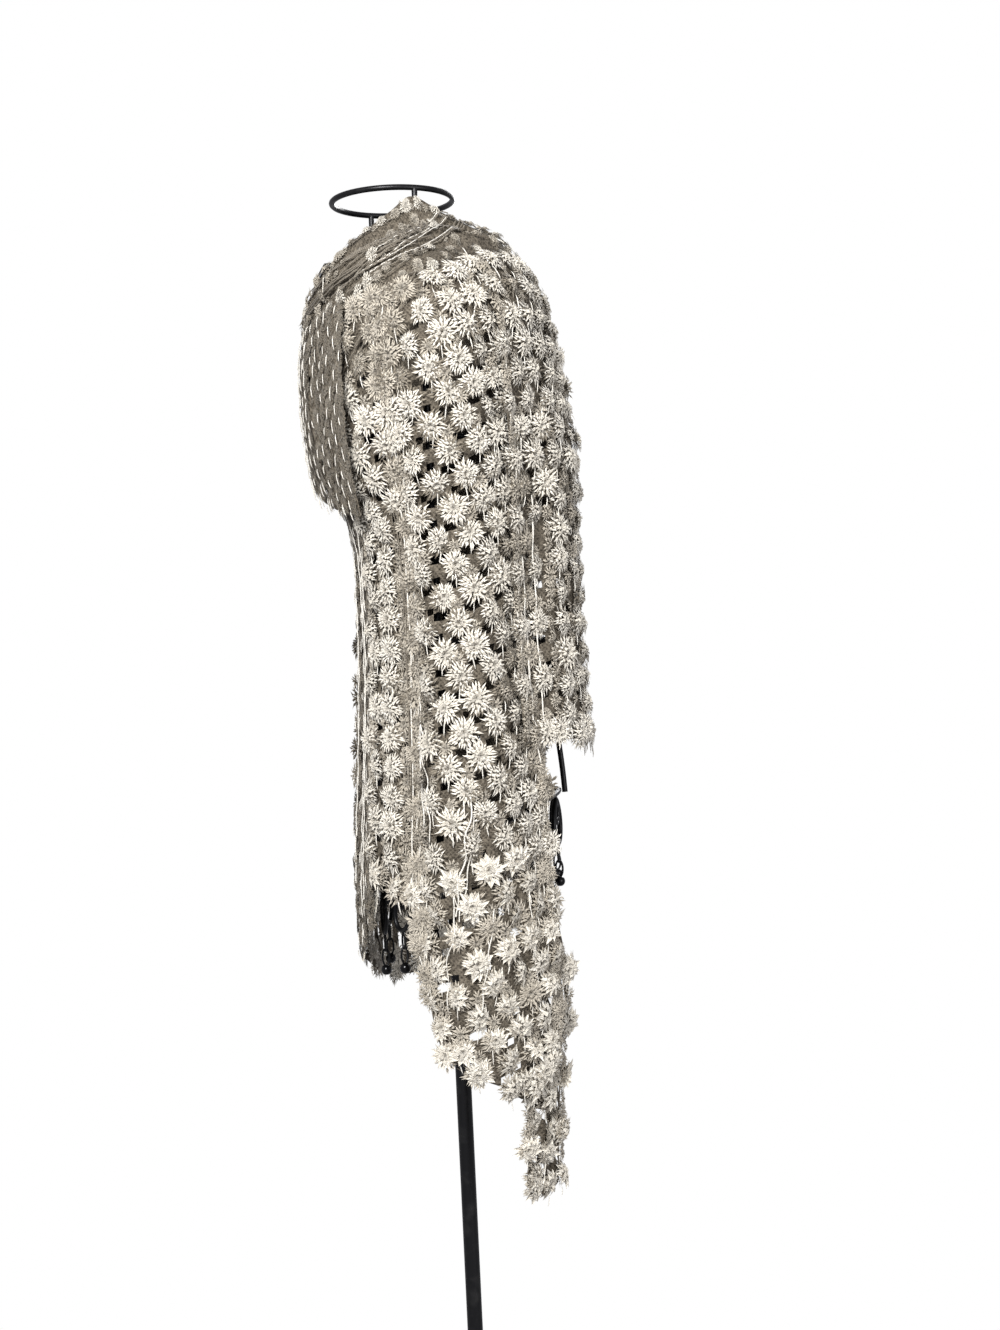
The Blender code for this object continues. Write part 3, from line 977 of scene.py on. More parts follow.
FLOWER_TIERS = (
    Tier(26, 0.0078, 0.0164, 0.0021, 0.0026),
    Tier(20, 0.0034, 0.0126, 0.0027, 0.0044),
    Tier(13, 0.0002, 0.0080, 0.0028, 0.0058),
)
RUFFLE_TIERS = (
    Tier(10, 0.0030, 0.0150, 0.0072, 0.0036),
    Tier(14, 0.0010, 0.0120, 0.0040, 0.0050),
    Tier(9, 0.0002, 0.0072, 0.0036, 0.0060),
)
TUFT_TIERS = (
    Tier(15, 0.0026, 0.0100, 0.0020, 0.0024),
    Tier(10, 0.0002, 0.0064, 0.0022, 0.0038),
)


@dataclass(frozen=True)
class FlowerShape:
    """One fluffy flower: rings of fine pointed needles that stand out from its middle."""

    lobes: int
    seed: int
    tiers: tuple[Tier, ...] = FLOWER_TIERS

    def build(self, name: str) -> Object:
        """Make the flower, its needles rising from z = 0.

        Args:
            name: Its name.

        Returns:
            An object that only lends its shape.
        """
        chance = np.random.default_rng(self.seed)
        points: list[tuple[float, float, float]] = []
        faces: list[tuple[int, ...]] = []
        for tier in self.tiers:
            for number in range(tier.count):
                turn = tau * (number + chance.uniform(-0.35, 0.35)) / tier.count
                lobe = 1.0 + 0.07 * cos(self.lobes * turn)
                self.needle(points, faces, tier, turn, tier.outer * lobe, chance)
        mesh = bpy.data.meshes.new(name)
        mesh.from_pydata(points, [], faces)
        petal = np.array(points) / self.tiers[0].outer
        petal[:, 2] = 0.0
        add_vectors(mesh, "petal", petal)
        made = link_object(name, mesh)
        made.hide_render = True
        return made

    def needle(self, points: list, faces: list, tier: Tier, turn: float, outer: float,
               chance: np.random.Generator) -> None:
        """Add one needle, a kite that bows up and comes to a point.

        Args:
            points: Points so far.
            faces: Faces so far.
            tier: The ring it stands in.
            turn: Its direction in radians.
            outer: How far its tip reaches.
            chance: Source of the unevenness.
        """
        first = len(points)
        tip = outer * chance.uniform(0.84, 1.12)
        middle = tier.inner + (tip - tier.inner) * chance.uniform(0.40, 0.60)
        bend = chance.uniform(-0.16, 0.16)
        half = 0.5 * tier.width / middle
        rise = tier.rise * chance.uniform(0.75, 1.20)
        for reach, side, height in ((tier.inner, 0.0, 0.35), (middle, -half, 1.0),
                                    (tip, bend, chance.uniform(0.05, 0.75)), (middle, half, 1.0)):
            points.append((reach * cos(turn + side), reach * sin(turn + side), rise * height))
        faces.append((first, first + 1, first + 2, first + 3))


@dataclass(frozen=True)
class BarShape:
    """One thread bar of length and width one along Y, bowed a little upwards."""

    sides: int = 4

    def build(self, name: str) -> Object:
        """Make the bar.

        Args:
            name: Its name.

        Returns:
            An object that only lends its shape.
        """
        rings = ((-0.50, 0.30, 0.0), (-0.28, 0.95, 0.6), (0.24, 1.0, 0.7), (0.50, 0.30, 0.0))
        points = []
        faces = []
        for along, radius, bow in rings:
            for side in range(self.sides):
                turn = tau * side / self.sides
                points.append((0.5 * radius * cos(turn), along, bow + 0.5 * radius * sin(turn)))
        for ring in range(len(rings) - 1):
            for side in range(self.sides):
                a = ring * self.sides + side
                b = ring * self.sides + (side + 1) % self.sides
                faces.append((a, b, b + self.sides, a + self.sides))
        faces.append(tuple(reversed(range(self.sides))))
        last = (len(rings) - 1) * self.sides
        faces.append(tuple(last + side for side in range(self.sides)))
        mesh = bpy.data.meshes.new(name)
        mesh.from_pydata(points, [], faces)
        shape = bmesh.new()
        shape.from_mesh(mesh)
        bmesh.ops.recalc_face_normals(shape, faces=shape.faces)
        shape.to_mesh(mesh)
        shape.free()
        made = link_object(name, mesh)
        made.hide_render = True
        return made


@dataclass
class Shapes:
    """The small shapes that the lace repeats."""

    flowers: list[Object] = field(default_factory=list)
    ruffles: list[Object] = field(default_factory=list)
    tufts: list[Object] = field(default_factory=list)
    bars: list[Object] = field(default_factory=list)

    def build(self) -> None:
        """Make the shapes."""
        kinds = ((5, 11), (6, 12), (5, 13), (6, 14))
        self.flowers = [FlowerShape(lobes, seed).build(f"flower_shape_{seed}")
                        for lobes, seed in kinds]
        self.ruffles = [FlowerShape(lobes, seed, RUFFLE_TIERS).build(f"ruffle_shape_{seed}")
                        for lobes, seed in ((5, 31), (6, 32), (5, 33))]
        self.tufts = [FlowerShape(lobes, seed, TUFT_TIERS).build(f"tuft_shape_{seed}")
                      for lobes, seed in ((2, 21), (3, 22), (3, 23))]
        self.bars = [BarShape().build("bar_shape")]

    def clear(self) -> None:
        """Remove the shapes once every stretch is planted."""
        for shape in self.flowers + self.ruffles + self.tufts + self.bars:
            bpy.data.objects.remove(shape, do_unlink=True)


@dataclass
class Stretch:
    """One stretch of the shawl: a net with gaps, its flowers and its threads.

    Its start and end are degrees round the form, and pitch is read by the share of its width.
    The share of gaps is read by height; fade is the height, by angle, above which its flowers
    are muted, as are flowers in deep fold valleys, where the muting is painted shade. Below
    lining_below a lining of petals faces inwards, and below ruffled_below the petals are looser
    and paler.
    """

    node: str
    start: float
    end: float
    top: Table
    bottom: Table
    lift: Table
    side: Side
    seed: int
    flat: tuple[float, float]
    area: float
    rests_on: tuple[str, ...]
    pitch: Table = Table(((0.0, FLOWER_PITCH), (1.0, FLOWER_PITCH)))
    row_pitch: float = ROW_PITCH
    gap_share: Table = Table(((0.0, 0.92), (2.0, 0.92)))
    bar_share: float = 0.80
    upper_gap_share: float = 0.45
    bloom_share: float = 0.97
    creases: tuple[Crease, ...] = ()
    columns: tuple[Column, ...] = ()
    strands: tuple[Strand, ...] = ()
    dark_strands: tuple[Strand, ...] = ()
    fade: Table = Table(((0.0, 9.0), (1.0, 9.0)))
    flower_size: float = 1.0
    lining_below: float = 0.0
    ruffled_below: float = 0.0
    hem_rise: float = 0.004
    wave: float = 0.0
    closed: bool = False

    def extra(self, angle: np.ndarray, height: np.ndarray, drop: np.ndarray) -> np.ndarray:
        """Relief of this stretch beside its folds and creases.

        Args:
            angle: Degrees round the form.
            height: Heights above the floor.
            drop: How far each place lies below the top edge.

        Returns:
            One lift for each place.
        """
        share = (angle - self.start) / (self.end - self.start)
        turned_in = 0.5 - 0.5 * np.cos(tau * 2.5 * share)
        return -self.wave * turned_in * np.clip(drop / 0.080, 0.0, 1.0)

    def points(self, angle: np.ndarray, height: np.ndarray, raised: float = 0.0) -> np.ndarray:
        """Points of the cloth.

        Args:
            angle: Degrees round the form.
            height: Heights above the floor.
            raised: How far above the cloth they lie.

        Returns:
            One point for each place.
        """
        drop = self.top.read(angle) - height
        out = self.lift.read(drop) + fold_depth(angle, height) + raised
        out = out + self.extra(angle, height, drop)
        for crease in self.creases:
            out = out + crease.read(angle, height)
        return body_points(angle, height) + body_normals(angle, height) * out[..., None]

    def frames(self, angle: np.ndarray, height: np.ndarray,
               raised: float) -> tuple[np.ndarray, np.ndarray, np.ndarray]:
        """Points of the cloth with their outward and sideways directions.

        Args:
            angle: Degrees round the form.
            height: Heights above the floor.
            raised: How far above the cloth the points lie.

        Returns:
            Points, outward directions and directions round the form.
        """
        step_round = 0.8
        step_up = 0.002
        around = self.points(angle + step_round, height) - self.points(angle - step_round, height)
        upward = self.points(angle, height + step_up) - self.points(angle, height - step_up)
        outward = unit(np.cross(around, upward))
        return self.points(angle, height) + outward * raised, outward, unit(around)

    def grid_lines(self) -> tuple[np.ndarray, np.ndarray]:
        """Angles of the net's lines, four to a column of flowers, and each column's pitch.

        Returns:
            The angles, and the pitch of each column in metres.
        """
        angles = np.linspace(self.start, self.end, 600)
        middle = 0.5 * (self.top.read(angles) + self.bottom.read(angles))
        steps = np.linalg.norm(np.diff(body_points(angles, middle), axis=0), axis=1)
        lengths = np.concatenate([[0.0], np.cumsum(steps)])
        width = lengths[-1]
        edges = [0.0]
        while edges[-1] < width:
            edges.append(edges[-1] + float(self.pitch.read(edges[-1] / width)))
        columns = max(len(edges) - 1, 1)
        if edges[-1] - width > 0.5 * (edges[-1] - edges[-2]) and columns > 1:
            edges.pop()
            columns -= 1
        edges = np.array(edges) * width / edges[-1]
        inside = (np.arange(CELLS) / CELLS)[None, :] * np.diff(edges)[:, None]
        lines = np.append((edges[:-1, None] + inside).ravel(), width)
        return np.interp(lines, lengths, angles), np.diff(edges)

    def rows(self) -> int:
        """How many rows of flowers the longest drop takes."""
        angles = np.linspace(self.start, self.end, 60)
        longest = float(np.max(self.top.read(angles) - self.bottom.read(angles)))
        return int(np.ceil(longest / self.row_pitch))

    def lattice(self) -> list[Site]:
        """Grid places of the flowers, every other row set off by half a column.

        Returns:
            The sites, with the same gaps each time it is asked.
        """
        chance = np.random.default_rng(self.seed)
        columns = len(self.grid_lines()[1])
        sites = []
        for row in range(self.rows()):
            lines = [CELLS * column + CELLS // 2 for column in range(columns)]
            if row % 2:
                lines = [CELLS * column for column in range(columns + (not self.closed))]
            for line in lines:
                angle = self.start + (self.end - self.start) * line / (CELLS * columns)
                height = float(self.top.read(angle)) - (row + 1.0) * self.row_pitch
                gap = chance.random() < float(self.gap_share.read(height))
                upper_gap = row > 1 and chance.random() < self.upper_gap_share
                sites.append(Site(line, CELLS * row + CELLS // 2, gap, upper_gap))
        return sites

    def gap_cells(self, site: Site, lines: int, rows: int) -> set[tuple[int, int]]:
        """Cells of the net that the gaps about a site take.

        Args:
            site: The site.
            lines: How many lines the net has.
            rows: How many rows of points it has.

        Returns:
            Line and row number of each cell.
        """
        low = site.row + CELLS // 2
        if not 0 < site.line < lines - 1 or low + 1 >= rows:
            return set()
        cells = set()
        if self.side is Side.REVERSE and site.gap:
            cells.update({(site.line, low - 1), (site.line, low), (site.line, low + 1)})
        elif site.gap:
            cells.update({(site.line - 1, low), (site.line, low)})
        if site.upper_gap:
            cells.add((site.line - (site.row // CELLS) % 2, site.row - CELLS // 2 - 1))
        return cells

    def build_net(self, material: Material) -> Object:
        """Make the net, with a gap below each flower.

        Args:
            material: Its finish.

        Returns:
            The net.
        """
        chance = np.random.default_rng(self.seed)
        line_angles, _ = self.grid_lines()
        cell = self.row_pitch / CELLS
        drops = np.arange(CELLS * self.rows() + 1) * cell
        angle = np.repeat(line_angles[:, None], len(drops), axis=1)
        drop = np.repeat(drops[None, :], len(line_angles), axis=0)
        half = float(np.mean(np.diff(line_angles)))
        gaps = set()
        for site in self.lattice():
            cells = self.gap_cells(site, len(line_angles), len(drops))
            gaps.update(cells)
            line = site.line
            low = site.row + CELLS // 2
            if not cells or not site.gap or self.side is Side.REVERSE:
                continue
            for side in (-1, 1):
                pull = chance.uniform(-0.42, -0.05)
                angle[line + side, low] -= side * half * pull
                angle[line + side, low + 1] -= side * half * pull
            drop[line, low] -= cell * chance.uniform(0.0, 0.30)
            drop[line, low + 1] += cell * chance.uniform(0.05, 0.35)
        top = self.top.read(angle)
        hem = self.bottom.read(angle)
        height = np.maximum(top - drop, hem)
        points = self.points(angle.ravel(), height.ravel())
        count = len(drops)
        faces = []
        for i in range(len(line_angles) - 1):
            for j in range(count - 1):
                left = height[i, j] - height[i, j + 1]
                right = height[i + 1, j] - height[i + 1, j + 1]
                if (i, j) in gaps or max(left, right) < 0.0004:
                    continue
                faces.append((i * count + j, i * count + j + 1,
                              (i + 1) * count + j + 1, (i + 1) * count + j))
        mesh = bpy.data.meshes.new(f"{self.node}_net")
        mesh.from_pydata(points.tolist(), [], faces)
        weave = np.stack([angle * UNROLL, height, np.zeros_like(height)], axis=-1)
        add_vectors(mesh, "weave", weave.reshape(-1, 3))
        shape = bmesh.new()
        shape.from_mesh(mesh)
        bmesh.ops.remove_doubles(shape, verts=shape.verts, dist=2e-5)
        loose = [vertex for vertex in shape.verts if not vertex.link_faces]
        bmesh.ops.delete(shape, geom=loose, context="VERTS")
        shape.to_mesh(mesh)
        shape.free()
        mesh.shade_smooth()
        mesh.materials.append(material)
        net = link_object(f"{self.node}_net", mesh)
        wall = net.modifiers.new("wall", "SOLIDIFY")
        wall.thickness = NET_THICKNESS
        wall.offset = 0.0
        return net

    def flower_places(self) -> tuple[np.ndarray, np.ndarray, np.ndarray, np.ndarray]:
        """Where the flowers stand, before any is left out.

        Returns:
            Angles, heights, how far each flower is squeezed sideways, and whether a tuft
            fits above it.
        """
        line_angles, pitches = self.grid_lines()
        cell = self.row_pitch / CELLS
        found = []
        for site in self.lattice():
            angle = float(line_angles[site.line])
            top = float(self.top.read(angle))
            height = top - site.row * cell
            zones = [column for column in self.columns
                     if abs(angle - column.angle) < column.half_zone
                     and column.bottom < height < column.top]
            low = float(self.bottom.read(angle)) + (0.001 if self.closed else 0.006)
            if zones or height < low:
                continue
            column = min(site.line // CELLS, len(pitches) - 1)
            roomy = height + TUFT_RISE < top and not site.upper_gap
            found.append((angle, height, min(1.0, pitches[column] / FLOWER_PITCH), roomy))
        for column in self.columns:
            for height in np.arange(column.top, column.bottom, -column.pitch):
                found.append((column.angle, float(height), 1.0, False))
        found.extend(self.hem_places())
        angle, height, squeeze, roomy = (np.array(values) for values in zip(*found))
        return angle, height, squeeze, roomy.astype(bool)

    def edge_places(self) -> tuple[np.ndarray, np.ndarray]:
        """Places of the fuzz along both side edges and beside the columns.

        Returns:
            Their angles and heights.
        """
        angles = []
        heights = []
        for edge, inward in ((self.start, 1.0), (self.end, -1.0)):
            run = np.arange(float(self.bottom.read(edge)) + 0.004,
                            float(self.top.read(edge)) - 0.008, EDGE_PITCH)
            heights.append(run)
            angles.append(np.full_like(run, edge + inward * 0.6))
        for column in self.columns:
            run = np.arange(column.top - 0.5 * column.pitch, column.bottom, -0.5 * column.pitch)
            for offset in (-0.66, 0.66):
                heights.append(run)
                angles.append(np.full_like(run, column.angle + offset * column.half_zone))
        return np.concatenate(angles), np.concatenate(heights)

    def hem_places(self) -> list[tuple[float, float, float, bool]]:
        """Flowers along the hem, whose needles make its ragged edge.

        Returns:
            Angle, height and squeeze of each, and that no tuft fits above it.
        """
        line_angles, pitches = self.grid_lines()
        places = []
        for column, pitch in enumerate(pitches):
            angle = float(line_angles[CELLS * column + CELLS // 2])
            rise = self.hem_rise + 0.006 * (column % 2)
            squeeze = min(1.0, pitch / FLOWER_PITCH)
            places.append((angle, float(self.bottom.read(angle)) + rise, squeeze, False))
        return places

    def planting(self, angle: np.ndarray, height: np.ndarray, squeeze: np.ndarray,
                 layer: Layer) -> Planting:
        """Stand a layer of flowers on the cloth, those of a lining facing inwards.

        Args:
            angle: Degrees round the form.
            height: Heights above the floor.
            squeeze: How narrow each flower is.
            layer: How they stand.

        Returns:
            The planting.
        """
        chance = np.random.default_rng(self.seed + layer.seed)
        count = len(angle)
        drift = FLOWER_DRIFT / UNROLL
        angle = angle + chance.uniform(-drift, drift, count)
        height = height + chance.uniform(-FLOWER_DRIFT, FLOWER_DRIFT, count)
        points, outward, around = self.frames(angle, height, layer.raised)
        facing = unit(outward + chance.uniform(-layer.tilt, layer.tilt, (count, 3)))
        turn = np.where(squeeze > 0.8, chance.uniform(0.0, tau, count), 0.0)[:, None]
        across = around * np.cos(turn) + np.cross(outward, around) * np.sin(turn)
        depth = np.full(count, 1.0 if self.side is Side.FACE else REVERSE_DEPTH)
        size = np.stack([squeeze, np.ones(count), depth], axis=-1) * self.flower_size
        return Planting(points, facing if layer.raised > 0.0 else -facing, across, size)

    def bars(self, angle: np.ndarray, height: np.ndarray, bar: Bar) -> Planting:
        """Lay thread bars across the gaps, or along the columns of the reverse.

        Args:
            angle: Degrees round the form of each flower.
            height: Height of each flower.
            bar: How the bars lie.

        Returns:
            The planting.
        """
        chance = np.random.default_rng(self.seed + BAR_SEED)
        chosen = chance.random(len(angle)) < self.bar_share
        angle, height = angle[chosen], height[chosen]
        count = len(angle)
        angle = angle + chance.uniform(-1.0, 1.0, count)
        height = height - bar.below + chance.uniform(-0.002, 0.002, count)
        points, outward, around = self.frames(angle, height, bar.raised)
        lean = chance.uniform(-BAR_LEAN, BAR_LEAN, count)[:, None]
        across = around * np.cos(lean) + np.cross(outward, around) * np.sin(lean)
        long = bar.length * chance.uniform(0.60, 1.15, count)
        thick = bar.width * chance.uniform(0.8, 1.15, count)
        return Planting(points, outward, across, np.stack([thick, long, thick], axis=-1))

    def build_strands(self, name: str, strands: tuple[Strand, ...],
                      material: Material) -> Object:
        """Make long twisted threads.

        Args:
            name: Name of the piece.
            strands: Where they run.
            material: Their finish.

        Returns:
            The threads.
        """
        chance = np.random.default_rng(self.seed + len(strands))
        lines = []
        for strand in strands:
            run_round = abs(strand.end_angle - strand.start_angle) * UNROLL
            run_down = abs(strand.end_height - strand.start_height)
            steps = max(int((run_down + run_round) / STRAND_STEP), 12)
            for number in range(strand.count):
                offset = chance.uniform(-0.5, 0.5, 2) * strand.spread
                first, last = (0.0, 1.0) if strand.count == 1 else np.sort(chance.random(2))
                share = np.linspace(first * 0.7, 0.3 + 0.7 * last, steps)
                wander = 0.35 * np.sin(tau * share * 3.0 + chance.uniform(0.0, tau))
                angle = strand.start_angle + (strand.end_angle - strand.start_angle) * share
                height = strand.start_height + (strand.end_height - strand.start_height) * share
                raised = chance.uniform(0.0030, 0.0050)
                angle = angle + wander + offset[0] / UNROLL
                height = np.clip(height + offset[1], self.bottom.read(angle) + STRAND_MARGIN,
                                 self.top.read(angle) - STRAND_MARGIN)
                line, outward, _ = self.frames(angle, height, raised)
                beat = np.abs(np.sin(np.arange(steps) * 1.7))
                line = line + outward * 0.0004 * np.sin(np.arange(steps))[:, None]
                lines.append((line, strand.thickness * (1.0 + 0.9 * beat), False))
        return sweep(name, lines, 5, material)

    def build_flowers(self, shapes: Shapes, palette: Palette) -> list[Object]:
        """Plant the flowers, the tufts between them and the thread bars.

        Args:
            shapes: The small shapes that are repeated.
            palette: The finishes.

        Returns:
            The pieces.
        """
        face = self.side is Side.FACE
        angle, height, squeeze, roomy = self.flower_places()
        chance = np.random.default_rng(self.seed + 1)
        # Flowers in deep fold valleys are muted as painted shade; those above the fade height and a
        # random share are muted too.
        keep = (fold_depth(angle, height) > VALLEY_DEPTH) & (
            chance.random(len(angle)) < self.bloom_share) & (height < self.fade.read(angle))
        edge_angle, edge_height = self.edge_places() if not self.closed else (angle[:0], height[:0])
        spots = np.stack([angle, height, squeeze])
        fringe = np.concatenate([
            spots[:, roomy] + np.array([[0.0], [TUFT_RISE], [0.0]]),
            np.stack([edge_angle, edge_height, np.full(len(edge_angle), EDGE_SQUEEZE)])], axis=1)
        low = height < self.ruffled_below
        plan = [
            (TUFTS, fringe, shapes.tufts, palette.muted if face else palette.taupe),
            (UNDER_PETALS, spots[:, ~low], shapes.flowers, palette.taupe),
            (PALE_UNDER_PETALS, spots[:, low], shapes.flowers, palette.muted),
        ]
        if face:
            plan += [
                (FLOWERS, spots[:, keep & ~low], shapes.flowers, palette.ivory),
                (RUFFLED_FLOWERS, spots[:, keep & low], shapes.ruffles, palette.ivory),
                (MUTED_AND_SHADED_FLOWERS, spots[:, ~keep], shapes.flowers, palette.muted),
            ]
        batches = [(layer.name, self.planting(*places, layer), choice, finish, layer.scales)
                   for layer, places, choice, finish in plan if places.size]
        bars = self.bars(angle, height, FACE_BAR if face else REVERSE_BAR)
        batches.append(("thread_bars", bars, shapes.bars, palette.thread, (1.0, 1.0)))
        lined = height < self.lining_below
        if lined.any():
            lining = self.planting(*spots[:, lined], LINING_PETALS)
            batches.append((LINING_PETALS.name, lining, shapes.flowers, palette.ivory,
                            LINING_PETALS.scales))
        LOG.info("%s: %d flowers, %d with ivory petals", self.node, len(angle), int(keep.sum()))
        return [
            plant(f"{self.node}_{name}", planting, choice, palette.get(finish), *sizes,
                  self.seed + number)
            for number, (name, planting, choice, finish, sizes) in enumerate(batches)
        ]

    def build(self, shapes: Shapes, palette: Palette) -> None:
        """Make the stretch's pieces and dress them.

        Args:
            shapes: The small shapes that are repeated.
            palette: The finishes.
        """
        net = self.build_net(palette.get(palette.net))
        pieces = self.build_flowers(shapes, palette)
        if self.strands:
            pieces.append(self.build_strands(f"{self.node}_strands", self.strands,
                                             palette.get(palette.thread)))
        if self.dark_strands:
            pieces.append(self.build_strands(f"{self.node}_dark_strands", self.dark_strands,
                                             palette.get(palette.dull_thread)))
        slot = Slot.IVORY if self.side is Side.FACE else Slot.TAUPE
        dress(net, slot, self.node)
        for piece in pieces:
            dress(piece, slot)


@dataclass
class Cowl(Stretch):
    """The stretch wound round the neck, with rolls that run in a spiral."""

    rolls: float = 2.6
    roll_height: float = 0.006

    def extra(self, angle: np.ndarray, height: np.ndarray, drop: np.ndarray) -> np.ndarray:
        """Relief of the rolls.

        Args:
            angle: Degrees round the form.
            height: Heights above the floor.
            drop: How far each place lies below the top edge.

        Returns:
            One lift for each place.
        """
        share = drop / (self.top.read(angle) - self.bottom.read(angle))
        phase = self.rolls * share - angle / 360.0
        inside = np.clip(np.sin(pi * np.clip(share, 0.0, 1.0)), 0.0, 1.0)
        return self.roll_height * (0.5 - 0.5 * np.cos(tau * phase)) * inside


